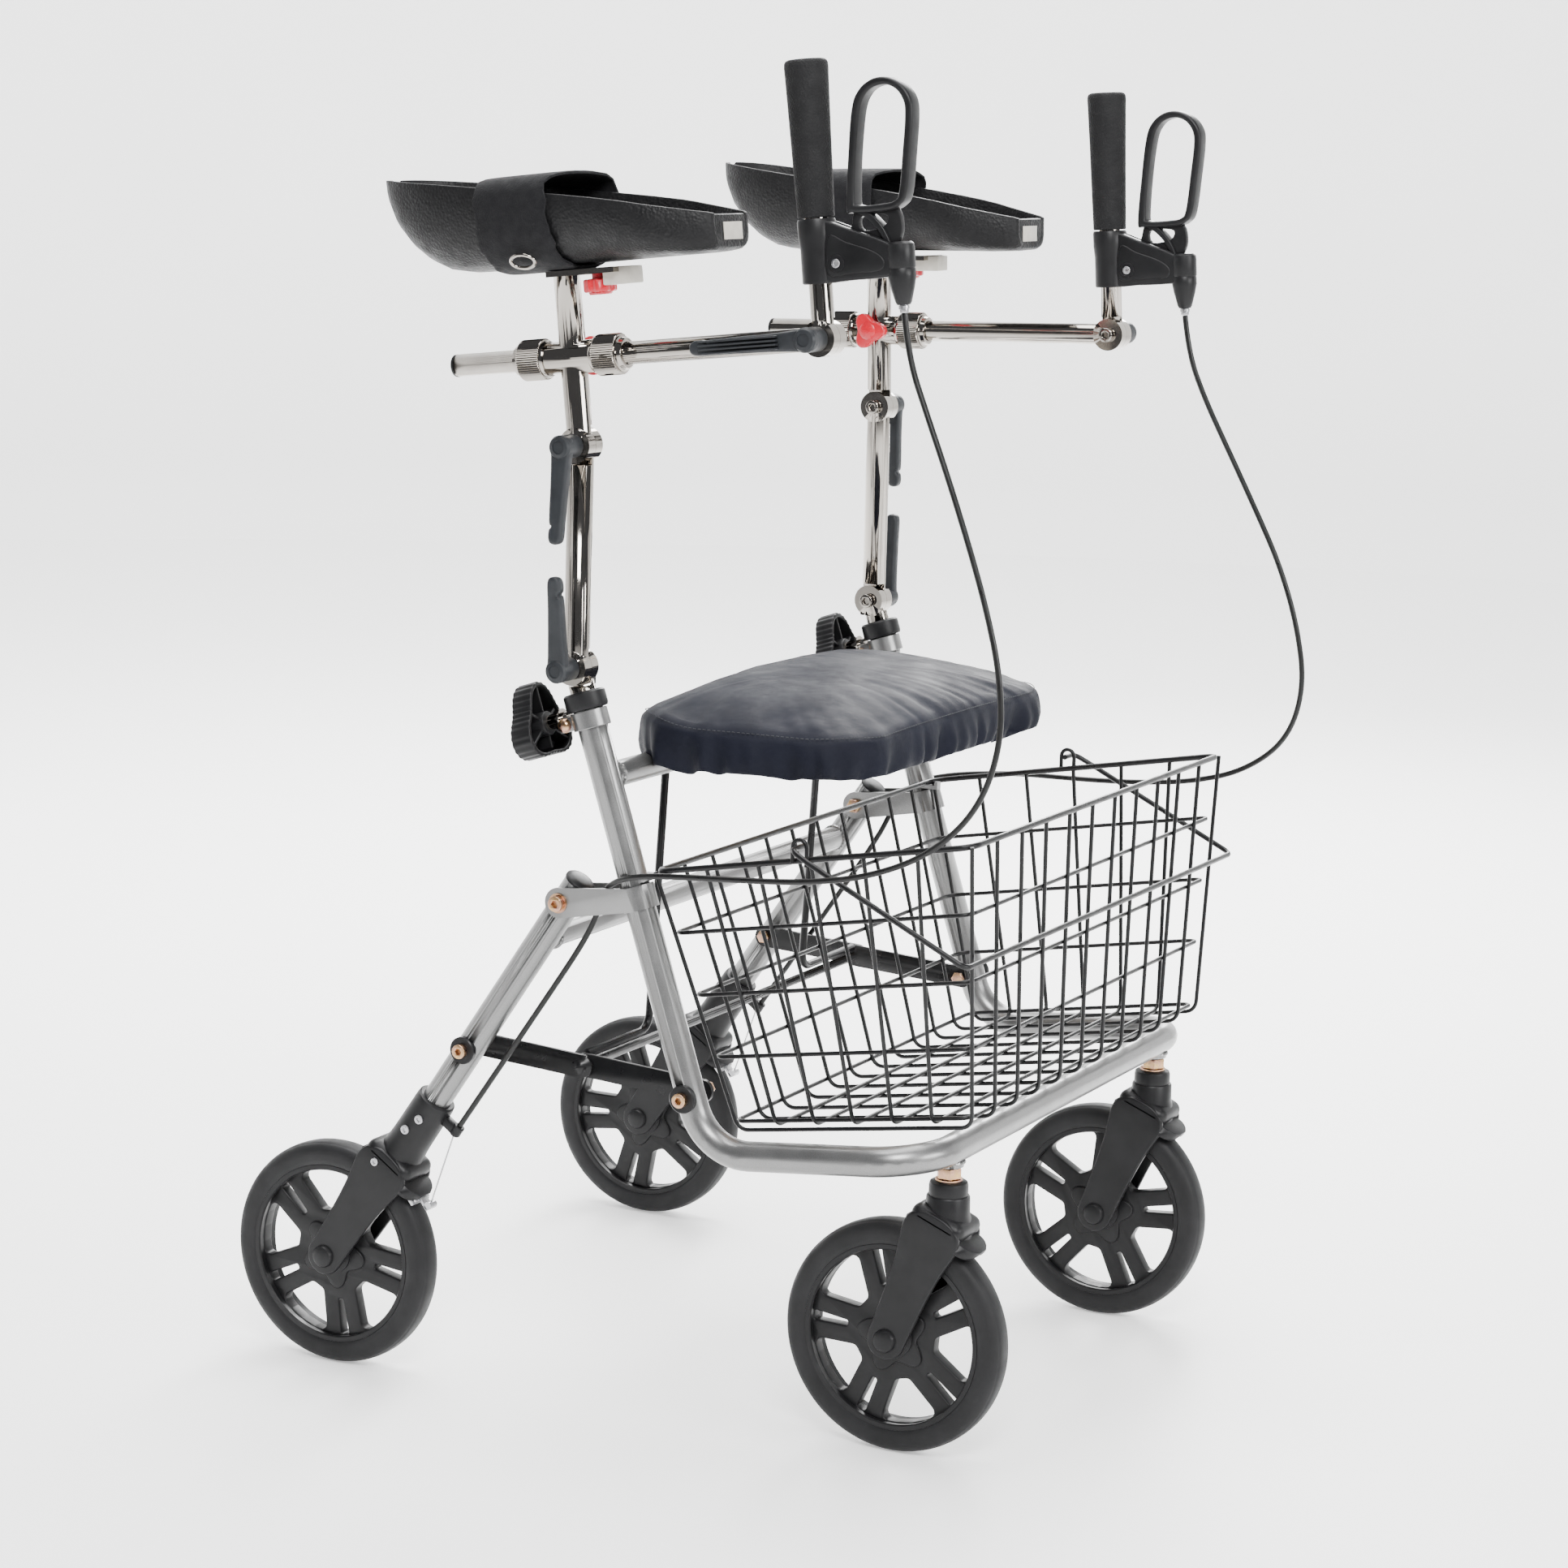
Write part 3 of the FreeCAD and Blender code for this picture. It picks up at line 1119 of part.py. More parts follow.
def handle_parts(side, word):
    """The hand grip on its stem, the brake body and the brake lever."""
    origin, turn = handle_base(side)
    base = tuple(origin)
    reach = d.eye_radius + 1.5
    name = "handle_stem_" + word
    stem = fuse(name + "_solids", [cylinder(name + "_bar", d.handle_tube_radius, d.stem_rise, (0, 0, 0)),
                                   eye(name + "_eye", side, True)])
    inside = cylinder(name + "_inside", d.handle_tube_radius - d.post_wall, d.stem_rise, (0, 0, 2 * reach))
    stem = cut(name, stem, [lap_room(name + "_room", side, True, (-20, -20), (20, reach)),
                            eye_bore(name + "_bore"),
                            inside])
    sub_part(name, place(stem, base, turn))
    name = "hand_grip_" + word
    grip = primitive("Cone", name + "_outside", (0, 0, d.grip_low_rise), Rotation(),
                     Radius1=d.grip_low_radius,
                     Radius2=d.grip_top_radius, Height=d.grip_length)
    hole = cylinder(name + "_hole", d.handle_tube_radius, d.stem_rise - d.grip_low_rise + 1,
                    (0, 0, d.grip_low_rise - 1))
    sub_part(name, place(cut(name, grip, [hole]), base, turn))
    brake_body(side, word, base, turn)
    brake_lever(side, word, base, turn)


def brake_body(side, word, base, turn):
    """Clamp sleeve, arm and cable housing, slotted for the lever."""
    name = "brake_body_" + word
    ahead = -1.0 * d.housing_ahead
    top = d.clamp_rise + 28
    solids = [cylinder(name + "_clamp", d.clamp_radius, d.clamp_length, (0, 0, d.clamp_rise)),
              block(name + "_arm", (-9, ahead, d.clamp_rise), (9, 0, top)),
              cylinder(name + "_housing", d.housing_radius, 26, (0, ahead, d.clamp_rise)),
              primitive("Cone", name + "_tip", (0, ahead, 22), Rotation(), Radius1=6,
                        Radius2=d.housing_radius, Height=d.clamp_rise - 22),
              cylinder(name + "_ferrule", 3.5, 7, (0, ahead, 16))]
    slot_low = d.clamp_rise + 6
    hollows = [cylinder(name + "_bore", d.handle_tube_radius, 80, (0, 0, d.clamp_rise - 10)),
               block(name + "_slot", (-1.0 * d.lever_slot_half, ahead - 6, slot_low),
                     (d.lever_slot_half, -1.0 * d.clamp_radius - 0.5, top + 20))]
    solid = cut(name + "_body", fuse(name + "_solids", solids), hollows)
    pin = rod_x(name + "_pin", 3, -10.5, 10.5, -1.0 * d.lever_pivot_ahead, d.lever_pivot_rise)
    sub_part(name, place(fuse(name, [solid, pin]), base, turn))


def brake_lever(side, word, base, turn):
    """A looped lever on the brake body's pin, with a plate that pulls the cable."""
    name = "brake_lever_" + word
    strip = d.lever_strip.value
    outer = [(-31, 104), (-44, 180), (-50, 193), (-62, 199), (-78, 196), (-89, 184), (-90, 172), (-80, 108),
             (-68, 97), (-40, 96)]
    centre = (-60.0, 147.0)
    tall = 103.0
    wide = 52.0
    inner = [(centre[0] + (y - centre[0]) * (1 - 2 * strip / wide),
              centre[1] + (z - centre[1]) * (1 - 2 * strip / tall))
             for y, z in outer]
    loop = padded(name + "_loop", "YZ_Plane", outer, d.lever_loop_half * 2)
    window = padded(name + "_window", "YZ_Plane", inner, d.lever_loop_half * 4)
    pivot_y, pivot_z = -1.0 * d.lever_pivot_ahead, d.lever_pivot_rise
    plate_points = [(pivot_y - 1, pivot_z - 4), (-68, pivot_z + 6), (-74, pivot_z + 20), (-66, 100),
                    (-38, 100),
                    (pivot_y + 1, pivot_z + 4)]
    plate = padded(name + "_plate", "YZ_Plane", plate_points, d.lever_plate_half * 2)
    hub = rod_x(name + "_hub", 5.2, -1.0 * d.lever_plate_half, d.lever_plate_half, pivot_y, pivot_z)
    ring = cut(name + "_ring", loop, [window])
    bore = rod_x(name + "_bore", 3 + d.running_gap, -20, 20, pivot_y, pivot_z)
    item = cut(name, fuse(name + "_solids", [ring, plate, hub]), [bore])
    sub_part(name, place(item, base, turn))


def armrest(side, word):
    """The forearm trough and its strap, in the arm's own frame."""
    base = arm_base(side, "upper")
    turn = tilt(arm_settings(side)[0].value)
    floor = d.gutter_bottom_rise
    name = "armrest_gutter_" + word
    outside = trough(name + "_outside", d.gutter_half, floor, 0.0)
    inside = trough(name + "_inside", d.gutter_half - d.gutter_wall, floor + d.gutter_wall, d.gutter_wall)
    sub_part(name, place(cut(name, outside, [inside]), base, turn))
    name = "armrest_strap_" + word
    half = d.gutter_half + d.strap_gap + d.strap_thick
    outer = strap_loop(name + "_outer", half, floor + d.gutter_half, d.strap_width)
    hole = strap_loop(name + "_hole", half - d.strap_thick, floor + d.gutter_half, d.strap_width + 4,
                      d.strap_thick.value)
    sub_part(name, place(cut(name, outer, [hole]), base, turn))


def trough(name, half, floor, wall):
    """A round-bottomed channel shaped by its side outline."""
    behind = d.gutter_behind.value - number(wall)
    ahead = d.gutter_ahead.value - number(wall)
    low = number(floor)
    lift = 6 if number(wall) else 0
    outlines = [(behind, low + 82 + lift), (behind - 7, low + 51), (behind - 27, low + 22),
                (behind - 61, low),
                (-ahead, low), (-ahead, low + 31 + lift), (-71, low + 50 + lift)]
    side_view = padded(name + "_side", "YZ_Plane", outlines, 200)
    centre = floor + half
    round_part = cylinder(name + "_round", half, 500, (0, -250, centre), (0, 1, 0))
    above = block(name + "_above", (-1.0 * half, -250, centre), (half, 250, centre + 80))
    wide = number(half)
    narrow = d.gutter_front_half.value - number(wall)
    right_side = [(-wide, 250), (-wide, -d.gutter_taper_ahead.value), (-narrow, -d.gutter_ahead.value),
                  (-narrow, -250)]
    plan = padded(name + "_plan", "XY_Plane", right_side + [(-x, y) for x, y in reversed(right_side)], 900)
    return common(name, [side_view, fuse(name + "_section", [round_part, above]), plan])


def strap_loop(name, half, centre, width, inset=0.0):
    """A round-bottomed loop closed by a flat top with rounded corners."""
    rear = d.strap_behind + (width - d.strap_width) * 0.5
    front = rear - width
    corner = d.strap_corner - inset
    top = centre + d.strap_crown - inset
    lower = cut(name + "_lower", cylinder(name + "_round", half, width, (0, front, centre), (0, 1, 0)),
                [block(name + "_above", (-1.0 * half, front - 1, centre),
                       (half, rear + 1, centre + half + 1))])
    pieces = [lower, block(name + "_straight", (-1.0 * half, front, centre), (half, rear, top - corner)),
              block(name + "_crown", (corner - half, front, centre), (half - corner, rear, top))]
    for heading in (-1, 1):
        pieces.append(cylinder("%s_corner_%d" % (name, heading + 1), corner, width,
                               (heading * (half - corner), front, top - corner), (0, 1, 0)))
    return fuse(name, pieces)


def arms():
    for side, word in SIDES:
        angle = arm_settings(side)[0]
        height_post(side, word)
        link_post(side, word)
        clamp_lever("lower_lever_" + word, side, arm_base(side, "lower"), Rotation(), 90.0, LEVER_REACH)
        clamp_lever("upper_lever_" + word, side, arm_base(side, "upper"), Rotation(), -90.0, LEVER_REACH)
        arm_cross(side, word)
        collet_rings(side, word)
        red_knobs(side, word)
        handle_tube(side, word)
        origin, turn = handle_base(side)
        clamp_lever("handle_lever_" + word, side, tuple(origin), tilt(angle.value), 0.0, HANDLE_LEVER_REACH)
        handle_parts(side, word)
        armrest(side, word)


# ---------------------------------------------------------------- brake cables

CABLE_ROUTES = {
    "right": [(-278, -271, 915), (-281, -290, 872), (-284, -310, 828), (-287, -331, 778), (-290, -351, 726),
              (-293, -367, 672), (-296, -371, 618), (-298, -354, 566), (-299, -315, 527), (-300, -263, 503),
              (-300, -205, 491), (-300, -146, 486), (-299, -90, 482), (-296, -54, 478), (-293, -29, 472),
              (-283, -9, 460), (-277, 0, 440), (-276, 12, 415), (-276, 40, 372)],
    "left": [(277, -284, 895), (280, -300, 855), (283, -325, 808), (285, -352, 758), (288, -378, 707),
             (290, -397, 652), (292, -406, 596), (295, -391, 546), (297, -350, 513), (299, -298, 497),
             (300, -241, 490), (300, -183, 487), (300, -125, 486), (299, -83, 482), (296, -54, 478),
             (293, -29, 472), (283, -9, 460), (277, 0, 440), (276, 12, 415), (276, 40, 372)],
}


def brake_cables():
    """Sheathed cables from the brake bodies, down in front and past the pivots to the forks' stops."""
    for side, word in SIDES:
        origin, turn = handle_base(side)
        leaves = origin + turn.multVec(Vector(0, -d.housing_ahead.value, 16 - d.part_gap.value))
        enters = cable_stop_point(side) + leg_direction() * -d.part_gap.value
        route = [leaves] + [Vector(*spot) for spot in CABLE_ROUTES[word]] + [enters]
        radii = []
        for index in range(1, len(route) - 1):
            back = route[index - 1] - route[index]
            ahead = route[index + 1] - route[index]
            half_turn = (math.pi - back.getAngle(ahead)) / 2
            radii.append(0.45 * min(back.Length, ahead.Length) / math.tan(half_turn))
        path = rounded_wire(route, radii)
        solid = swept(path, d.cable_radius.value)
        sub_part("cable_" + word, shaped("cable_" + word, solid))
        expected = math.pi * d.cable_radius.value ** 2 * path.Length
        print("cable_%s %.0f mm long, volume %.4f of its section times length, radii %s" % (
            word, path.Length, solid.Volume / expected, " ".join("%.0f" % radius for radius in radii)))


# ---------------------------------------------------------------- output

def check_document():
    doc.recompute()
    failed = [item.Name for item in doc.Objects if "Invalid" in item.State or "Error" in item.State]
    if failed:
        raise RuntimeError("failed: %s" % ", ".join(failed))
    for item in SUB_PARTS:
        if item.Shape.isNull() or not item.Shape.isValid():
            raise RuntimeError("bad shape: " + item.Label)


def write_parts():
    os.makedirs("parts", exist_ok=True)
    for item in SUB_PARTS:
        item.Shape.exportStep("parts/%s.step" % item.Label)
        print("%-24s %2d solids %10.1f mm3" % (item.Label, len(item.Shape.Solids), item.Shape.Volume))


write_sheet()
front_frame()
pivot_brackets()
post_collars()
height_knobs()
frame_fasteners()
rear_legs()
leg_caps()
rear_fasteners()
brace_links()
rear_forks()
caster_forks()
wheels()
brake_shoes()
seat()
pull_bar()
wire_basket()
basket_bail()
arms()
brake_cables()
check_document()
write_parts()
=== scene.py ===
import json
import math
import random

import bpy
from mathutils import Matrix, Vector


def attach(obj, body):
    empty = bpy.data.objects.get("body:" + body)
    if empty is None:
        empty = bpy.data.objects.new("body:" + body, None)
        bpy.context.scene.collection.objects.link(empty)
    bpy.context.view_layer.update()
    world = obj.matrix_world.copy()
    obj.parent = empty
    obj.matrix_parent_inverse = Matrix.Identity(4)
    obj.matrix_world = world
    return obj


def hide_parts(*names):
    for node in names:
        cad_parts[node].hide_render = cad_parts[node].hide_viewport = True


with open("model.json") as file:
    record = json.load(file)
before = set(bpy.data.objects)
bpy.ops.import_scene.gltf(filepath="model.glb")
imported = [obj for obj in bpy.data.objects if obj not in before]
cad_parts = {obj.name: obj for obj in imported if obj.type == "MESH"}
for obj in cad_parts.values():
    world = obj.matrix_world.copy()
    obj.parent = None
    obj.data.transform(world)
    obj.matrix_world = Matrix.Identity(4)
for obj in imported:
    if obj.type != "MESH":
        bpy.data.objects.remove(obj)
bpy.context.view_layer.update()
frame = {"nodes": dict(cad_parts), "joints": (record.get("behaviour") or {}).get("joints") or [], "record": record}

bl_info = {
    "name": "Walking Frame",
    "version": (1, 0, 0),
    "blender": (4, 5, 0),
    "location": "View3D > Sidebar > Walking Frame",
    "description": "Builds a wheeled walking frame with forearm supports round its CAD frame",
    "category": "Object",
}

MM = 0.001
SIDES = ((-1, "right"), (1, "left"))
JOINTS = {joint["name"]: joint for joint in frame["joints"]}
SLOTS = {part["node"]: part["material_slot"] for part in frame["record"]["subparts"]}
FINISHES = {}

# Places that several pieces share, in millimetres.
TRACK = 276.0  # from the middle to an upright, a rear leg or a rear wheel
TUBE = 12.7  # radius of the frame tubes
PIVOT = (31.3, 444.0)  # the folding pivot, as (y, z)
WHEEL = 100.0  # radius of a wheel
FRONT_TRACK = 219.0  # from the middle to a front wheel
CASTER_Y = -304.0  # the casters' upright axis
AXLE_REACH = 261.0  # from the middle to both pairs of axles, fore and aft
BRAKE_PIN = (-20.5, 58.0)  # the brake lever's pin in the handle's frame, as (y, z)
CABLE_AHEAD = 72.0  # where the cable leaves the brake body, ahead of the handle's joint
STOP_AHEAD, STOP_RISE = 31.0, 179.4  # where it enters its stop, in the leg's frame
SLEEVE_RISE = 72.0  # the handle tube's sleeve above the upper tilt joint


# ---------------------------------------------------------------- settings

class WalkingFrameSizes(bpy.types.PropertyGroup):
    """Sizes that the looks are made from."""
    cable_width: bpy.props.FloatProperty(name="Cable width", description="Diameter of the brake cables",
                                         default=5 * MM, unit="LENGTH", subtype="DISTANCE")
    grille_wire: bpy.props.FloatProperty(name="Grille wire",
                                         description="Radius of the basket's thin wires", default=1.8 * MM,
                                         unit="LENGTH", subtype="DISTANCE")
    rim_wire: bpy.props.FloatProperty(name="Rim wire", description="Radius of the basket's rim",
                                      default=2.6 * MM, unit="LENGTH", subtype="DISTANCE")
    seed: bpy.props.IntProperty(name="Seed", description="Seed of the cover's wrinkles", default=7)


class WalkingFrameColours(bpy.types.PropertyGroup):
    """Colours of the finishes."""
    silver: bpy.props.FloatVectorProperty(name="Frame paint",
                                          description="Metallic paint of the frame tubes",
                                          default=(0.23, 0.23, 0.228), subtype="COLOR")
    black: bpy.props.FloatVectorProperty(name="Black plastic", description="Moulded forks, rims and brakes",
                                         default=(0.007, 0.007, 0.0075), subtype="COLOR")
    charcoal: bpy.props.FloatVectorProperty(name="Lever plastic", description="Clamp levers",
                                            default=(0.020, 0.022, 0.025), subtype="COLOR")
    red: bpy.props.FloatVectorProperty(name="Knob plastic", description="Small adjusting knobs",
                                       default=(0.58, 0.006, 0.022), subtype="COLOR")
    cover: bpy.props.FloatVectorProperty(name="Seat cover", description="Nylon of the seat cover",
                                         default=(0.008, 0.009, 0.016), subtype="COLOR")
    floor: bpy.props.FloatVectorProperty(name="Floor", description="Studio floor and backdrop",
                                         default=(0.93, 0.93, 0.925), subtype="COLOR")


def sizes():
    return bpy.context.scene.walking_frame_sizes


def colours():
    return bpy.context.scene.walking_frame_colours


# ---------------------------------------------------------------- places

def joint_spot(name):
    return Vector(JOINTS[name]["pos_m"])


def arm_place(word):
    """The arm's own frame: origin on the upper tilt joint, Z up the cross post, -Y forward."""
    axis = JOINTS["handle_slide_" + word]["axis"]
    turn = math.atan2(axis[2], axis[1]) + math.pi
    return Matrix.Translation(joint_spot("upper_tilt_" + word)) @ Matrix.Rotation(turn, 4, "X")


def handle_place(word):
    """The handle's own frame: origin on its joint, Z up the grip, -Y towards the brake lever."""
    origin = joint_spot("handle_tilt_" + word)
    to_pin = joint_spot("brake_pull_" + word) - origin
    lean = math.atan2(BRAKE_PIN[1], BRAKE_PIN[0]) - math.atan2(to_pin.z, to_pin.y)
    return Matrix.Translation(origin) @ Matrix.Rotation(-lean, 4, "X")


def leg_place(word):
    """The rear leg's own frame: origin on the axle, Z up the leg, -Y forward and across it."""
    axle = joint_spot("rear_wheel_spin_" + word)
    pivot = joint_spot("rear_fold")
    lean = math.atan2(axle.y - pivot.y, pivot.z - axle.z)
    return Matrix.Translation(axle) @ Matrix.Rotation(lean, 4, "X")


def upright_place(word):
    """The upright's own frame: origin on the lower tilt joint, Z up along the tube."""
    axis = JOINTS["height_slide_" + word]["axis"]
    turn = -math.atan2(axis[1], axis[2])
    return Matrix.Translation(joint_spot("lower_tilt_" + word)) @ Matrix.Rotation(turn, 4, "X")


def millimetres(spots):
    """Spots given in millimetres, in metres."""
    return [Vector(spot) * MM for spot in spots]


# ---------------------------------------------------------------- modelling by hand

def nothing_selected():
    if bpy.context.object and bpy.context.object.mode != "OBJECT":
        bpy.ops.object.mode_set(mode="OBJECT")
    bpy.ops.object.select_all(action="DESELECT")


def only(piece):
    nothing_selected()
    piece.select_set(True)
    bpy.context.view_layer.objects.active = piece


def in_edit_mode(piece, *steps):
    """Runs each step, a function, in edit mode with everything selected."""
    only(piece)
    bpy.ops.object.mode_set(mode="EDIT")
    bpy.ops.mesh.select_all(action="SELECT")
    for step in steps:
        step()
    bpy.ops.object.mode_set(mode="OBJECT")


def tidy_faces():
    bpy.ops.mesh.select_all(action="SELECT")
    bpy.ops.mesh.remove_doubles(threshold=1e-6)
    bpy.ops.mesh.normals_make_consistent(inside=False)


def ring(name, spots):
    """A closed loop of edges through the given spots."""
    nothing_selected()
    bpy.ops.mesh.primitive_circle_add(vertices=len(spots), radius=MM)
    piece = bpy.context.object
    piece.name = name
    for vertex, spot in zip(piece.data.vertices, spots):
        vertex.co = spot
    return piece


def lathe(name, profile, place=Matrix(), steps=48):
    """A turned piece about the X axis of its place: profile is (radius, along) in millimetres, closed."""
    piece = ring(name, [Vector((along, 0, radius)) * MM for radius, along in profile])
    in_edit_mode(piece, lambda: bpy.ops.mesh.spin(steps=steps, angle=2 * math.pi, center=(0, 0, 0),
                                                  axis=(1, 0, 0)), tidy_faces)
    piece.data.transform(place)
    return piece


def brick(name, low, high, place=Matrix(), round_edge=0.0, segments=2):
    """A block between two corners in millimetres, its edges rounded."""
    nothing_selected()
    bpy.ops.mesh.primitive_cube_add(size=1)
    piece = bpy.context.object
    piece.name = name
    middle = (Vector(low) + Vector(high)) * MM / 2
    span = (Vector(high) - Vector(low)) * MM
    piece.data.transform(Matrix.Translation(middle) @ Matrix.Diagonal((*span, 1)))
    if round_edge:
        bevelled(piece, round_edge, segments)
    piece.data.transform(place)
    return piece


def bevelled(piece, width, segments=2, angle=30):
    """Rounds the edges sharper than an angle in degrees, by a width in millimetres."""
    only(piece)
    bevel = piece.modifiers.new("rounding", "BEVEL")
    bevel.width = width * MM
    bevel.segments = segments
    bevel.limit_method = "ANGLE"
    bevel.angle_limit = math.radians(angle)
    bevel.use_clamp_overlap = True
    bpy.ops.object.modifier_apply(modifier=bevel.name)
    return piece


def carved(piece, tool):
    """Cuts a tool away from a piece and removes the tool."""
    only(piece)
    change = piece.modifiers.new("carve", "BOOLEAN")
    change.operation = "DIFFERENCE"
    change.solver = "EXACT"
    change.object = tool
    bpy.ops.object.modifier_apply(modifier=change.name)
    bpy.data.objects.remove(tool)
    return piece


def wire(name, spots, radius, cyclic=False, place=Matrix(), resolution=4):
    """A round wire along spots in millimetres, as a mesh with closed ends."""
    nothing_selected()
    bpy.ops.curve.primitive_nurbs_path_add()
    piece = bpy.context.object
    piece.name = name
    line = piece.data
    line.splines.clear()
    spline = line.splines.new("POLY")
    spline.points.add(len(spots) - 1)
    for point, spot in zip(spline.points, spots):
        point.co = (*(Vector(spot) * MM), 1)
    spline.use_cyclic_u = cyclic
    line.dimensions = "3D"
    line.bevel_depth = radius
    line.bevel_resolution = resolution
    line.use_fill_caps = not cyclic
    only(piece)
    bpy.ops.object.convert(target="MESH")
    piece = bpy.context.object
    piece.data.transform(place)
    return piece


def arc_spots(corner, before, after, radius, steps=5):
    """Spots round a bend that replaces a corner between two runs, in millimetres."""
    corner, before, after = Vector(corner), Vector(before), Vector(after)
    back = (before - corner).normalized()
    ahead = (after - corner).normalized()
    half_turn = (math.pi - back.angle(ahead)) / 2
    reach = radius * math.tan(half_turn)
    centre = corner + (back + ahead).normalized() * (radius / math.cos(half_turn))
    first = corner + back * reach - centre
    last = corner + ahead * reach - centre
    axis = first.cross(last)
    turn = first.angle(last)
    return [centre + Matrix.Rotation(turn * index / steps, 3, axis) @ first for index in range(steps + 1)]


def rounded_route(spots, radius):
    """An open route whose inner corners are bends."""
    route = [Vector(spots[0])]
    for index in range(1, len(spots) - 1):
        route += arc_spots(spots[index], spots[index - 1], spots[index + 1], radius)
    return route + [Vector(spots[-1])]


def skin(name, rings, closed=True, capped=True):
    """A surface over rings of equal count, in millimetres, with its ends capped."""
    count = len(rings[0])
    spots = [Vector(spot) * MM for loop in rings for spot in loop]
    faces = []
    for row in range(len(rings) - 1):
        for index in range(count if closed else count - 1):
            following = (index + 1) % count
            faces.append((row * count + index, row * count + following, (row + 1) * count + following,
                          (row + 1) * count + index))
    if capped:
        faces.append(tuple(range(count)))
        faces.append(tuple(range((len(rings) - 1) * count, len(rings) * count)))
    mesh = bpy.data.meshes.new(name)
    mesh.from_pydata(spots, [], faces)
    piece = bpy.data.objects.new(name, mesh)
    bpy.context.scene.collection.objects.link(piece)
    in_edit_mode(piece, tidy_faces)
    return piece


def joined(name, pieces):
    """One piece made of several."""
    nothing_selected()
    for piece in pieces:
        piece.select_set(True)
    bpy.context.view_layer.objects.active = pieces[0]
    if len(pieces) > 1:
        bpy.ops.object.join()
    pieces[0].name = name
    return pieces[0]


def copied(name, piece, place=Matrix()):
    """A copy with its own mesh, put at a place."""
    double = bpy.data.objects.new(name, piece.data.copy())
    bpy.context.scene.collection.objects.link(double)
    double.data.transform(place)
    return double


def fan(radius, angles):
    """Spots at the given angles round a circle, as pairs."""
    return [(radius * math.cos(turn), radius * math.sin(turn)) for turn in angles]


def polar(count, radius):
    """Even spots round a circle, as (y, z)."""
    return fan(radius, [2 * math.pi / count * index for index in range(count)])


def finished(piece, body, material, slot, *nodes, angle=35):
    """Smooth shading, a finish, a body to ride on and the CAD nodes that the piece stands for."""
    only(piece)
    bpy.ops.object.shade_smooth_by_angle(angle=math.radians(angle))
    piece.data.materials.clear()
    piece.data.materials.append(material)
    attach(piece, body)
    if nodes:
        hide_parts(*nodes)
    return piece


def merged_copy(name, node):
    """A copy of a CAD node with its loose triangles merged."""
    piece = bpy.data.objects.new(name, frame["nodes"][node].data.copy())
    bpy.context.scene.collection.objects.link(piece)
    in_edit_mode(piece, lambda: bpy.ops.mesh.remove_doubles(threshold=1e-6))
    return piece


def plate(name, outline, low, high, holes=(), place=Matrix(), edge=0.8):
    """A plate across X with rounded edges: outline and holes are (y, z) loops in millimetres."""
    nothing_selected()
    bpy.ops.curve.primitive_bezier_circle_add()
    piece = bpy.context.object
    piece.name = name
    line = piece.data
    line.splines.clear()
    line.dimensions = "2D"
    line.fill_mode = "BOTH"
    for loop in (outline, *holes):
        spline = line.splines.new("POLY")
        spline.points.add(len(loop) - 1)
        for point, (y, z) in zip(spline.points, loop):
            point.co = (y * MM, z * MM, 0, 1)
        spline.use_cyclic_u = True
    line.extrude = ((high - low) / 2 - edge) * MM
    line.bevel_depth = edge * MM
    line.bevel_resolution = 2
    line.offset = -edge * MM
    only(piece)
    bpy.ops.object.convert(target="MESH")
    piece = bpy.context.object
    upright = Matrix(((0, 0, 1, 0), (1, 0, 0, 0), (0, 1, 0, 0), (0, 0, 0, 1)))
    in_edit_mode(piece, tidy_faces)
    piece.data.transform(place @ Matrix.Translation(((low + high) / 2 * MM, 0, 0)) @ upright)
    return piece


def flowing(loop, steps=4):
    """A smooth closed loop through the given spots."""
    count = len(loop)
    smooth = []
    for index in range(count):
        before, start, end, after = (loop[(index + shift) % count] for shift in (-1, 0, 1, 2))
        for step in range(steps):
            t = step / steps
            smooth.append(tuple(0.5 * (2 * b + (c - a) * t + (2 * a - 5 * b + 4 * c - e) * t * t
                                       + (3 * b - a - 3 * c + e) * t ** 3)
                                for a, b, c, e in zip(before, start, end, after)))
    return smooth


def rounded_loop(corners, radius, steps=5):
    """A closed loop with every corner rounded, as (y, z)."""
    loop = []
    count = len(corners)
    for index in range(count):
        before, corner, after = ((*corners[(index + shift) % count], 0) for shift in (-1, 0, 1))
        loop += [(spot.x, spot.y) for spot in arc_spots(corner, before, after, radius, steps)]
    return loop


def lobes(radius, ripple, count, steps):
    """A round outline with a ripple, such as a knurl or a lobed knob."""
    total = count * steps
    return [((radius + ripple * math.cos(count * turn)) * math.cos(turn),
             (radius + ripple * math.cos(count * turn)) * math.sin(turn))
            for turn in (2 * math.pi * index / total for index in range(total))]


def turned(loop, turn):
    """A loop of (y, z) turned about its origin."""
    cosine, sine = math.cos(turn), math.sin(turn)
    return [(y * cosine - z * sine, y * sine + z * cosine) for y, z in loop]


def shift(x=0.0, y=0.0, z=0.0):
    return Matrix.Translation((x * MM, y * MM, z * MM))


def turned_to(axis):
    """Turns the X axis of a lathe onto another axis."""
    return Vector((1, 0, 0)).rotation_difference(Vector(axis)).to_matrix().to_4x4()


UP = turned_to((0, 0, 1))


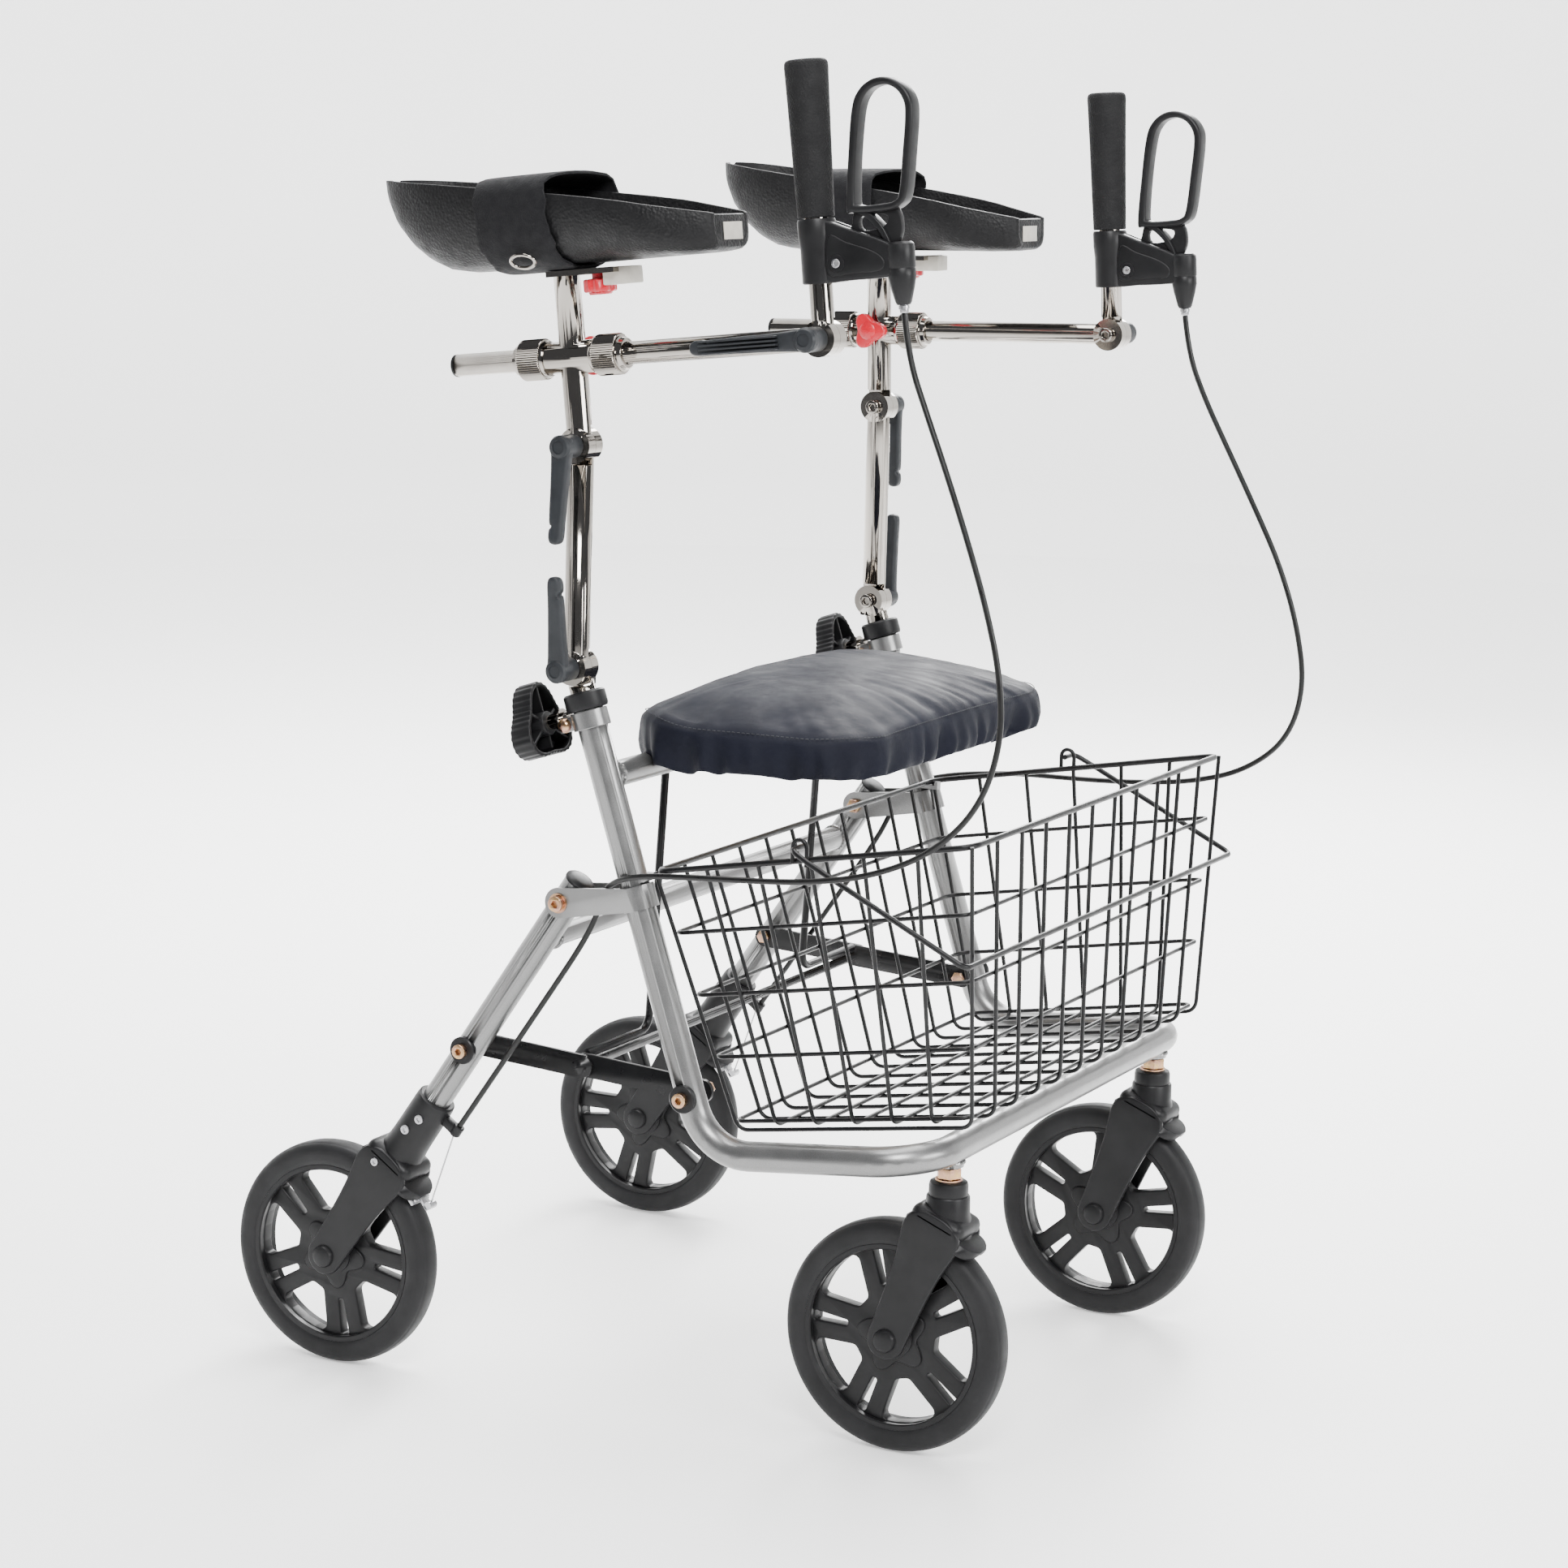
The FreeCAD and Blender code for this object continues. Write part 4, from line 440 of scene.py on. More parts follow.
def socket_screw(name, x, y, z, side, radius=4.5, length=5.0, place=Matrix()):
    """A round-headed screw with a hexagon socket, its head facing outward."""
    head = plate(name, polar(28, radius), 0, length, [polar(6, radius * 0.5)], edge=0.6)
    floor = lathe(name + "_floor", [(0, 0.2), (radius * 0.6, 0.2), (radius * 0.6, 1.2), (0, 1.2)], steps=12)
    screw = joined(name, [head, floor])
    if side < 0:
        screw.data.transform(Matrix.Rotation(math.pi, 4, "Z"))
    screw.data.transform(place @ shift(x, y, z))
    return screw


# ---------------------------------------------------------------- finishes

class Finish:
    """A procedural material built up from the piece's own coordinates."""

    def __init__(self, name, colour, metallic=0.0, roughness=0.5, **inputs):
        self.material = bpy.data.materials.new(name)
        self.material.use_nodes = True
        self.nodes = self.material.node_tree.nodes
        self.links = self.material.node_tree.links
        self.shader = self.nodes["Principled BSDF"]
        self.colour = tuple(colour)
        self.shader.inputs["Base Color"].default_value = (*colour, 1)
        self.shader.inputs["Metallic"].default_value = metallic
        self.shader.inputs["Roughness"].default_value = roughness
        for socket, value in inputs.items():
            self.shader.inputs[socket.replace("_", " ")].default_value = value
        self.place = self.nodes.new("ShaderNodeTexCoord").outputs["Object"]
        self.normal = None

    def noise(self, scale, detail=3.0, roughness=0.55, stretch=None):
        texture = self.nodes.new("ShaderNodeTexNoise")
        texture.inputs["Scale"].default_value = scale
        texture.inputs["Detail"].default_value = detail
        texture.inputs["Roughness"].default_value = roughness
        source = self.place
        if stretch:
            mapping = self.nodes.new("ShaderNodeMapping")
            mapping.inputs["Scale"].default_value = stretch
            self.links.new(self.place, mapping.inputs["Vector"])
            source = mapping.outputs["Vector"]
        self.links.new(source, texture.inputs["Vector"])
        return texture.outputs["Fac"]

    def cells(self, scale):
        texture = self.nodes.new("ShaderNodeTexVoronoi")
        texture.inputs["Scale"].default_value = scale
        self.links.new(self.place, texture.inputs["Vector"])
        return texture.outputs["Distance"]

    def weave(self, scale, direction="DIAGONAL"):
        texture = self.nodes.new("ShaderNodeTexWave")
        texture.bands_direction = direction
        texture.inputs["Scale"].default_value = scale
        texture.inputs["Distortion"].default_value = 0.4
        self.links.new(self.place, texture.inputs["Vector"])
        return texture.outputs["Fac"]

    def spread(self, fac, low, high):
        """The middle of a pattern's range stretched from low to high."""
        ranged = self.nodes.new("ShaderNodeMapRange")
        ranged.inputs["From Min"].default_value = 0.3
        ranged.inputs["From Max"].default_value = 0.7
        ranged.inputs["To Min"].default_value = low
        ranged.inputs["To Max"].default_value = high
        self.links.new(fac, ranged.inputs["Value"])
        return ranged.outputs["Result"]

    def mottle(self, fac, low, high):
        self.links.new(self.spread(fac, low, high), self.shader.inputs["Roughness"])
        return self

    def tint(self, fac, other):
        mix = self.nodes.new("ShaderNodeMix")
        mix.data_type = "RGBA"
        mix.inputs["A"].default_value = (*self.colour, 1)
        mix.inputs["B"].default_value = (*other, 1)
        self.links.new(self.spread(fac, 0, 1), mix.inputs["Factor"])
        self.links.new(mix.outputs["Result"], self.shader.inputs["Base Color"])
        return self

    def relief(self, fac, strength, distance=0.0004):
        bump = self.nodes.new("ShaderNodeBump")
        bump.inputs["Strength"].default_value = strength
        bump.inputs["Distance"].default_value = distance
        self.links.new(fac, bump.inputs["Height"])
        if self.normal:
            self.links.new(self.normal, bump.inputs["Normal"])
        self.normal = bump.outputs["Normal"]
        self.links.new(self.normal, self.shader.inputs["Normal"])
        return self


def scaled(colour, share):
    """A colour with every channel scaled."""
    return tuple(channel * share for channel in colour)


def make_finishes():
    tones = colours()
    made = {}

    def finish(slot, *arguments, **inputs):
        made[slot] = Finish(slot, *arguments, **inputs)
        return made[slot]

    item = finish("silver_paint", tones.silver, 0.82, 0.34, Coat_Weight=0.35, Coat_Roughness=0.15)
    item.tint(item.noise(2200, 1), scaled(tones.silver, 0.72)).mottle(item.noise(45), 0.28, 0.40)
    item.relief(item.noise(1500, 2), 0.10, 0.0001)
    item = finish("black_metal", (0.006, 0.006, 0.0065), 0.0, 0.30, Specular_IOR_Level=0.25)
    item.mottle(item.noise(60), 0.24, 0.40).relief(item.noise(500, 2), 0.12, 0.0002)
    item = finish("zinc_yellow", (0.52, 0.34, 0.15), 1.0, 0.28)
    item.tint(item.noise(140, 3), (0.46, 0.26, 0.22)).mottle(item.noise(300), 0.2, 0.42)
    item = finish("steel_grey", (0.50, 0.50, 0.50), 1.0, 0.30)
    item.tint(item.noise(240, 3), (0.36, 0.36, 0.38)).mottle(item.noise(350), 0.22, 0.45)
    # Chrome's base colour is darker and browner than bare chrome: partly its own tone, partly a painted dark
    # reflection that stands in for the dim surroundings it mirrors.
    item = finish("chrome", (0.34, 0.315, 0.285), 1.0, 0.07)
    item.mottle(item.noise(35, 5), 0.045, 0.13).relief(item.noise(18, 1), 0.04, 0.001)
    item = finish("black_plastic", tones.black, 0.0, 0.4, Specular_IOR_Level=0.2)
    item.mottle(item.noise(70, 4), 0.32, 0.46).relief(item.noise(1400, 2), 0.22, 0.0002)
    item.tint(item.noise(30, 3), scaled(tones.black, 1.5))
    item = finish("charcoal_plastic", tones.charcoal, 0.0, 0.45, Specular_IOR_Level=0.25)
    item.mottle(item.noise(90, 4), 0.36, 0.55).relief(item.noise(1700, 2), 0.3, 0.0002)
    item.tint(item.noise(50), scaled(tones.charcoal, 0.75))
    item = finish("red_plastic", tones.red, 0.0, 0.28, Coat_Weight=0.3)
    item.mottle(item.noise(120), 0.22, 0.36).tint(item.noise(60), scaled(tones.red, 0.8))
    item.relief(item.noise(900), 0.08, 0.0002)
    item = finish("tyre", (0.009, 0.009, 0.0095), 0.0, 0.52, Specular_IOR_Level=0.2)
    item.mottle(item.noise(40, 5), 0.44, 0.64).relief(item.noise(900, 3), 0.35, 0.0003)
    item.tint(item.noise(22, 4), (0.014, 0.014, 0.015))
    item = finish("grip_foam", (0.007, 0.007, 0.0075), 0.0, 0.72, Specular_IOR_Level=0.2)
    item.relief(item.cells(650), 0.9, 0.0006).relief(item.noise(260, 3), 0.3, 0.0005)
    item.mottle(item.noise(80), 0.62, 0.82)
    item = finish("cover_fabric", tones.cover, 0.0, 0.6, Specular_IOR_Level=0.09)
    item.relief(item.weave(900, "X"), 0.22, 0.0002).relief(item.weave(900, "Y"), 0.22, 0.0002)
    item.relief(item.noise(55, 4), 0.25, 0.003).mottle(item.noise(30, 4), 0.50, 0.68)
    item.tint(item.noise(14, 5), scaled(tones.cover, 0.65))
    item = finish("neoprene", (0.005, 0.005, 0.006), 0.0, 0.85, Specular_IOR_Level=0.2, Sheen_Weight=0.03)
    item.relief(item.cells(900), 0.6, 0.0005).relief(item.noise(40, 4), 0.25, 0.002)
    item.mottle(item.noise(120), 0.75, 0.95)
    item = finish("trough", (0.006, 0.006, 0.0065), 0.0, 0.5, Specular_IOR_Level=0.2)
    item.relief(item.cells(420), 0.7, 0.0006).relief(item.noise(200, 4), 0.4, 0.0008)
    item.mottle(item.noise(60), 0.4, 0.6)
    item = finish("seat_board", (0.35, 0.24, 0.14), 0.0, 0.6)
    item.tint(item.noise(30, 5, stretch=(1, 12, 12)), (0.22, 0.14, 0.08)).relief(item.noise(300), 0.2)
    item = finish("cable_sheath", (0.006, 0.006, 0.006), 0.0, 0.32, Specular_IOR_Level=0.3)
    item.mottle(item.noise(90), 0.26, 0.42).relief(item.noise(600), 0.15, 0.0002)
    item = finish("label", (0.55, 0.52, 0.46), 0.0, 0.4)
    item.tint(item.noise(90, 3), (0.45, 0.42, 0.37)).mottle(item.noise(200), 0.3, 0.5)
    item = finish("thread", (0.008, 0.009, 0.014), 0.0, 0.7)
    item.relief(item.weave(2500), 0.5, 0.0002).mottle(item.noise(300), 0.6, 0.8)
    return {name: item.material for name, item in made.items()}


def kept(node, body):
    """A merged copy of a CAD node with its own finish, standing for it."""
    slot = SLOTS[node]
    return finished(merged_copy(node + "_look", node), body, FINISHES[slot], slot, node)


def dressed(piece, body, slot, *nodes, look=None, angle=35):
    """A new piece in its slot's own finish, or in another look."""
    return finished(piece, body, FINISHES[look or slot], slot, *nodes, angle=angle)


# ---------------------------------------------------------------- stage and camera

CAMERA_AT = (-3.0002, -1.5905, 1.1144)
CAMERA_TURN = (-62.469, 10.143, 1.593)  # azimuth, elevation and roll in degrees
LENS = 88.32
LAMPS = (  # name, place, what it aims at, width, height, power
    ("key", (-2.6, -1.6, 3.0), (0, 0, 0.5), 1.4, 1.4, 190),
    ("fill", (-0.6, -3.6, 1.6), (0, 0, 0.5), 2.0, 1.0, 110),
    ("side", (2.8, 0.6, 2.2), (0, 0, 0.6), 0.8, 2.0, 120),
    ("top", (0.3, 0.3, 3.6), (0, 0, 0), 2.6, 2.6, 240),
    ("back", (1.6, 1.0, 3.4), (4.5, 3.0, 0.6), 2.4, 2.4, 420),
)
BACKDROP = ((0.0, 6.2), (0.15, 6.6), (0.6, 6.9), (1.4, 7.0), (5.5, 7.0))  # height and reach in metres


class FRAME_OT_stage(bpy.types.Operator):
    """Camera, lights, floor and backdrop"""
    bl_idname = "walking_frame.stage"
    bl_label = "Stage"

    def execute(self, context):
        world = context.scene.world or bpy.data.worlds.new("studio")
        context.scene.world = world
        world.use_nodes = True
        world.node_tree.nodes["Background"].inputs["Color"].default_value = (0.9, 0.93, 1.0, 1)
        world.node_tree.nodes["Background"].inputs["Strength"].default_value = 0.16
        self.camera(context)
        self.floor()
        for name, spot, aim, width, height, power in LAMPS:
            self.light(name, Vector(spot), Vector(aim), width, height, power)
        return {"FINISHED"}

    def camera(self, context):
        nothing_selected()
        bpy.ops.object.camera_add()
        camera = context.object
        camera.name = "camera"
        azimuth, elevation, roll = (math.radians(angle) for angle in CAMERA_TURN)
        back = Vector((math.sin(azimuth) * math.cos(elevation), -math.cos(azimuth) * math.cos(elevation),
                       math.sin(elevation)))
        right = Vector((math.cos(azimuth), math.sin(azimuth), 0))
        up = back.cross(right)
        across = right * math.cos(roll) + up * math.sin(roll)
        over = up * math.cos(roll) - right * math.sin(roll)
        turn = Matrix((across, over, back)).transposed().to_4x4()
        camera.matrix_world = Matrix.Translation(CAMERA_AT) @ turn
        camera.data.lens = LENS
        camera.data.sensor_width = 36
        camera.data.dof.use_dof = False
        context.scene.camera = camera

    def floor(self):
        nothing_selected()
        bpy.ops.mesh.primitive_plane_add(size=14)
        ground = bpy.context.object
        ground.name = "floor"
        made = Finish("floor", colours().floor, 0.0, 0.7, Emission_Color=(1, 1, 1, 1),
                      Emission_Strength=0.45)
        made.relief(made.noise(3, 2), 0.02, 0.002).mottle(made.noise(2), 0.5, 0.6)
        ground.data.materials.append(made.material)
        sweep = [math.radians(-60 + 5 * step) for step in range(37)]
        rings = [[(x, y, height / MM) for x, y in fan(reach / MM, sweep)] for height, reach in BACKDROP]
        wall = skin("backdrop", rings, closed=False, capped=False)
        wall.data.materials.append(made.material)
        only(wall)
        bpy.ops.object.shade_smooth()

    def light(self, name, spot, aim, width, height, power):
        nothing_selected()
        bpy.ops.object.light_add(type="AREA", location=spot)
        lamp = bpy.context.object
        lamp.name = name
        lamp.data.shape = "RECTANGLE"
        lamp.data.size = width
        lamp.data.size_y = height
        lamp.data.energy = power
        lamp.rotation_euler = (spot - aim).to_track_quat("Z", "Y").to_euler()


# ---------------------------------------------------------------- brake cables

CABLES = {
    "right": [(-278, -271, 915), (-281, -290, 872), (-284, -310, 828), (-287, -331, 778), (-290, -351, 726),
              (-293, -367, 672), (-296, -371, 618), (-298, -354, 566), (-299, -315, 527), (-300, -263, 503),
              (-300, -205, 491), (-300, -146, 486), (-299, -90, 482), (-296, -54, 478), (-293, -29, 472),
              (-283, -9, 460), (-277, 0, 440), (-276, 12, 415), (-276, 40, 372)],
    "left": [(277, -284, 895), (280, -300, 855), (283, -325, 808), (285, -352, 758), (288, -378, 707),
             (290, -397, 652), (292, -406, 596), (295, -391, 546), (297, -350, 513), (299, -298, 497),
             (300, -241, 490), (300, -183, 487), (300, -125, 486), (299, -83, 482), (296, -54, 478),
             (293, -29, 472), (283, -9, 460), (277, 0, 440), (276, 12, 415), (276, 40, 372)],
}


class FRAME_OT_cables(bpy.types.Operator):
    """The two brake cables"""
    bl_idname = "walking_frame.cables"
    bl_label = "Brake cables"

    def execute(self, context):
        for side, word in SIDES:
            leaves = handle_place(word) @ (Vector((0, -CABLE_AHEAD, 15.7)) * MM)
            enters = leg_place(word) @ (Vector((0, -STOP_AHEAD, STOP_RISE)) * MM)
            spots = [leaves] + millimetres(CABLES[word]) + [enters]
            nothing_selected()
            bpy.ops.curve.primitive_nurbs_path_add()
            cable = context.object
            cable.name = "brake_cable_" + word
            cable.data.splines.clear()
            spline = cable.data.splines.new("NURBS")
            spline.points.add(len(spots) - 1)
            for point, spot in zip(spline.points, spots):
                point.co = (*spot, 1)
            spline.order_u = 3
            spline.use_endpoint_u = True
            cable.data.dimensions = "3D"
            cable.data.resolution_u = 8
            cable.data.bevel_depth = sizes().cable_width / 2
            cable.data.bevel_resolution = 5
            cable.data.use_fill_caps = True
            cable.data.materials.append(FINISHES["cable_sheath"])
            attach(cable, "frame")
            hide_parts("cable_" + word)
        return {"FINISHED"}


# ---------------------------------------------------------------- frame

LEG_RUN = (0.5553, -0.8316)  # the way down a rear leg, as (y, z)
UPRIGHT_FOOT = (-107.4, 244.0)  # where an upright starts, as (y, z)
UPRIGHT_LEAN = 126.1 / 375  # how far an upright runs back for its rise
SEAT_CROSS_Z = 553.0  # height of the cross tube under the seat
COLLAR_AT = (18.7, 619.0)  # the top of an upright, as (y, z)
CROSS_TUBE = 11.3  # radius of the cross tubes at their welds
BEAD = 1.7  # radius of a weld bead


def down_leg(reach):
    """The spot this far down a rear leg from the folding pivot, as (y, z)."""
    return PIVOT[0] + LEG_RUN[0] * reach, PIVOT[1] + LEG_RUN[1] * reach


def weld(name, start, axis, radius, body):
    """A rippled weld bead round a tube end."""
    bead = lathe(name, [(radius + BEAD * a, BEAD * b) for b, a in polar(8, 1.0)],
                 Matrix.Translation(Vector(start) * MM) @ turned_to(axis), 96)
    middle, along = Vector(start) * MM, Vector(axis).normalized()
    for vertex in bead.data.vertices:
        arm = vertex.co - middle
        turn = math.atan2(arm.dot(along.orthogonal()), arm.dot(along.cross(along.orthogonal())))
        vertex.co += along * 0.35 * MM * math.sin(turn * 22)
    return dressed(bead, body, "silver_paint")


class FRAME_OT_tubes(bpy.types.Operator):
    """Frame loop, rear legs, brackets and their weld beads"""
    bl_idname = "walking_frame.tubes"
    bl_label = "Frame tubes"

    def execute(self, context):
        kept("front_frame", "frame")
        kept("rear_legs", "rear_frame")
        kept("pivot_brackets", "frame")
        seat_cross_y = UPRIGHT_FOOT[0] + (SEAT_CROSS_Z - UPRIGHT_FOOT[1]) * UPRIGHT_LEAN
        for side, word in SIDES:
            x = side * (TRACK - TUBE - 0.6)
            weld("seat_cross_weld_" + word, (x, seat_cross_y, SEAT_CROSS_Z), (1, 0, 0), CROSS_TUBE, "frame")
            weld("leg_cross_weld_" + word, (x, *down_leg(42)), (1, 0, 0), CROSS_TUBE, "rear_frame")
            weld("caster_weld_" + word, (side * FRONT_TRACK, CASTER_Y, 256), (0, 0, 1), 12.0, "frame")
        return {"FINISHED"}


def knob_outline(radius, swell, ripple):
    """A rounded triangle with a finely ribbed edge."""
    loop = []
    for index in range(216):
        turn = math.pi * index / 108
        reach = radius + swell * math.cos(3 * turn) + ripple * math.cos(36 * turn)
        loop.append((reach * math.sin(turn), reach * math.cos(turn)))
    return loop


class FRAME_OT_fasteners(bpy.types.Operator):
    """Bolts, nuts, spacers, leg caps, height collars and knobs"""
    bl_idname = "walking_frame.fasteners"
    bl_label = "Fasteners and knobs"

    def execute(self, context):
        for side, word in SIDES:
            self.pivot_bolt(side, word)
            self.brace_bolt("front", side, -90.7, 292.0, "frame", word)
            self.brace_bolt("rear", side, *down_leg(169), "rear_frame", word)
            self.caster_nut(side, word)
            self.cap(word)
            self.collar(side, word)
        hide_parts("frame_fasteners")
        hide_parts("rear_fasteners")
        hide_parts("leg_caps")
        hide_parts("post_collars")
        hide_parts("height_knobs")
        return {"FINISHED"}

    def pivot_bolt(self, side, word):
        outer, inner = TRACK + TUBE + 3.1, TRACK - TUBE - 3.1
        y, z = PIVOT
        head = socket_screw("fold_head_" + word, side * (outer + 1.2), y, z, side, 6.6, 5)
        washer = lathe("fold_washer_" + word, [(3, 0), (8.5, 0), (8.5, 1.2), (3, 1.2)],
                       shift(side * outer - (1.2 if side < 0 else 0), y, z), 36)
        nut = plate("fold_nut_" + word, polar(6, 7), 0, 5,
                    place=shift(side * inner - (0 if side < 0 else 5), y, z))
        shank = lathe("fold_shank_" + word, [(0, inner), (4, inner), (4, outer), (0, outer)],
                      Matrix.Rotation(0 if side > 0 else math.pi, 4, "Z") @ shift(0, side * y, z), 20)
        dressed(joined("fold_bolt_" + word, [head, washer, nut, shank]), "frame", "zinc_yellow")

    def brace_bolt(self, end, side, y, z, body, word):
        outer = TRACK + TUBE
        inner = TRACK - TUBE - (15.4 if end == "front" else 5.1)
        head = socket_screw("head", side * (outer + 3.0), y, z, side, 6.2, 5.5)
        nut = plate("nut", polar(6, 6.4), 0, 4.2,
                    place=shift(side * inner - (0 if side < 0 else 4.2), y, z))
        bolt = joined("%s_bolt_%s" % (end, word), [head, nut])
        dressed(bolt, body, "zinc_yellow")
        spacer = lathe("%s_spacer_%s" % (end, word),
                       [(4, -3), (11.2, -3), (11.9, -2), (11.9, 2.2), (11.0, 3.1), (4, 3.1)], steps=48)
        if side < 0:
            spacer.data.transform(Matrix.Rotation(math.pi, 4, "Z"))
        spacer.data.transform(shift(side * outer, y, z))
        dressed(spacer, body, "black_plastic")

    def caster_nut(self, side, word):
        spot = shift(side * FRONT_TRACK, CASTER_Y, 0)
        nut = plate("caster_nut_" + word, polar(6, 11), 241.5, 251.0, edge=0.9)
        nut.data.transform(spot @ UP)
        washer = lathe("caster_washer", [(6, 240.1), (11.5, 240.1), (11.5, 241.4), (6, 241.4)],
                       spot @ UP, 40)
        rod = lathe("caster_rod", [(0, 206), (6, 206), (6, 256), (0, 256)], spot @ UP, 28)
        dressed(joined("caster_nut_" + word, [nut, washer, rod]), "frame", "zinc_yellow")

    def cap(self, word):
        top = leg_place(word) @ shift(0, 0, 433.6) @ UP
        cap = lathe("leg_cap_" + word, [(0, 4.4), (7, 4.3), (11.5, 3.4), (13.2, 1.8), (13.4, 0.1),
                                        (11.1, 0.1), (11.1, -10), (0, -10)], top, 48)
        dressed(cap, "rear_frame", "black_plastic")

    def collar(self, side, word):
        """A bushing over a silver clamp band, and the knob that tightens it from behind."""
        place = shift(side * TRACK, *COLLAR_AT) @ upright_place(word).to_3x3().to_4x4()
        bushing = lathe("collar_" + word, [(11.5, 3), (12.4, 3.8), (16.4, 3.4), (17.8, 1.8), (18, -9),
                                           (17.2, -11.4), (12.9, -12), (12.9, -0.5), (11.5, -0.5)],
                        place @ UP, 64)
        dressed(bushing, "frame", "black_plastic")
        band = lathe("band", [(12.9, -27.5), (15.4, -27.5), (15.8, -27), (15.8, -13), (15.4, -12.5),
                              (12.9, -12.5)], UP, 64)
        ears = [brick("ear", (edge - 2, 13, -26), (edge + 2, 29, -14), round_edge=1.4)
                for edge in (-4.6, 4.6)]
        clamp = joined("clamp_band_" + word, [band] + ears)
        clamp.data.transform(place)
        dressed(clamp, "frame", "silver_paint")
        outward = Matrix.Rotation(0 if side > 0 else math.pi, 4, "Z")
        profile = [(0, 11.4), (3, 11.2), (5.2, 9.6), (6.2, 7), (6.2, 6.4), (2.8, 6.4), (2.8, -10), (0, -10)]
        dome = lathe("clamp_bolt_" + word, profile, place @ shift(0, 22, -20) @ outward, 36)
        dressed(dome, "frame", "zinc_yellow")
        axis = place @ shift(0, 0, -14) @ turned_to((0, 1, 0))
        spacer = lathe("knob_spacer_" + word,
                       [(0, 19), (5.6, 19), (5.6, 25), (9, 25), (9, 26.4), (6.4, 26.8), (6.4, 43), (0, 43)],
                       axis, 36)
        dressed(spacer, "frame", "chrome")
        outer, inner = knob_outline(30.6, 5.2, 0.4), knob_outline(27.2, 4.4, 0.0)
        pieces = [plate("wall", outer, 41, 59, [inner], edge=1.2), plate("face", outer, 56.5, 61, edge=2.0),
                  lathe("hub", [(6.4, 39.6), (9.6, 40), (10.4, 41.2), (10.4, 57), (6.4, 57)], steps=40)]
        for index in range(6):
            reach = 33 if index % 2 == 0 else 21
            pieces.append(brick("rib", (43, -1.1, 9), (57.5, 1.1, reach),
                                Matrix.Rotation(index * math.pi / 3, 4, "X"), 0.4, 1))
        knob = joined("height_knob_" + word, pieces)
        knob.data.transform(axis)
        dressed(knob, "frame", "black_plastic")


class FRAME_OT_braces(bpy.types.Operator):
    """Folding braces and the lift rods"""
    bl_idname = "walking_frame.braces"
    bl_label = "Braces and lift rods"

    def execute(self, context):
        for node, body in (("front_links", "brace_front"), ("rear_links", "brace_rear"),
                           ("pull_bar", "seat_lift")):
            kept(node, body)
        return {"FINISHED"}


# ---------------------------------------------------------------- wheels and forks

RIM = 80.0  # radius of a rim
HOOD = (-14, 21)  # how far a fork's hood reaches behind and ahead, in degrees
SHOE_LEAN = math.atan2(0.31, 0.95)  # the shoe's direction from the axle, ahead of the leg
PINCH = (0, -15, 111)  # the bolt that holds the inner wire, before the shoe leans


def wheel_rim():
    """The rim of one wheel about the X axis: hub, five double spokes and band."""
    corners = fan(38.0, (-0.17, 0.17)) + fan(RIM - 5, (0.37, 0.185, 0.0, -0.185, -0.37))
    opening = rounded_loop(corners, 5.5, 4)
    slot = rounded_loop([(43, -2.4), (RIM - 5, -4.2), (RIM - 5, 4.2), (43, 2.4)], 2.0, 4)
    holes = []
    for index in range(5):
        turn = index * 2 * math.pi / 5
        holes.append(turned(opening, turn))
        holes.append(turned(slot, turn + math.pi / 5))
    pieces = [plate("spokes", polar(96, RIM - 0.6), -6, 6, holes, edge=1.5),
              lathe("band", [(RIM - 4, -12.8), (RIM - 0.3, -12.8), (RIM, -12.2), (RIM, 12.2),
                             (RIM - 0.3, 12.8), (RIM - 4, 12.8), (RIM - 5, 11.4), (RIM - 4.4, 6),
                             (RIM - 4.2, 0), (RIM - 4.4, -6), (RIM - 5, -11.4)], steps=96)]
    for face in (-1, 1):
        low, high = sorted((face * 5.0, face * 8.0))
        petals = plate("petals", lobes(27.5, 5.5, 5, 16), low, high, edge=1.4)
        petals.data.transform(Matrix.Rotation(math.pi / 5, 4, "X"))
        pieces.append(petals)
        pieces.append(lathe("hub", [(5.2, face * 5), (19, face * 5), (18.4, face * 9.4), (14, face * 10.4),
                                    (13, face * 11), (12.6, face * 15.6), (11.8, face * 16.4),
                                    (5.2, face * 16.4)], steps=56))
    return joined("rim", pieces)


def tyre():
    """The rubber of one wheel, its shoulders rounded."""
    half = [(RIM - 0.4, 12.2), (RIM + 1.2, 13.3), (RIM + 4, 13.8), (88, 14.0), (92, 13.7), (95, 12.6),
            (97.2, 10.8), (98.2, 9.2), (98.3, 8.6), (98.9, 7.9), (99.6, 5.4), (99.9, 2.6)]
    profile = half + [(WHEEL, 0)] + [(radius, -along) for radius, along in reversed(half)]
    return lathe("tyre", profile, steps=128)


class FRAME_OT_wheels(bpy.types.Operator):
    """Four wheels"""
    bl_idname = "walking_frame.wheels"
    bl_label = "Wheels"

    def execute(self, context):
        rim, rubber = wheel_rim(), tyre()
        for side, word in SIDES:
            for end, track, y, turn in (("rear", TRACK, AXLE_REACH, 0.35),
                                        ("front", FRONT_TRACK, -AXLE_REACH, 0.9)):
                place = shift(side * track, y, WHEEL) @ Matrix.Rotation(turn + side * 0.2, 4, "X")
                body = "%s_wheel_%s" % (end, word)
                dressed(copied(body + "_rim", rim, place), body, "black_plastic", "%s_rim_%s" % (end, word))
                dressed(copied(body + "_tyre", rubber, place), body, "tyre", "%s_tyre_%s" % (end, word))
        bpy.data.objects.remove(rim)
        bpy.data.objects.remove(rubber)
        return {"FINISHED"}


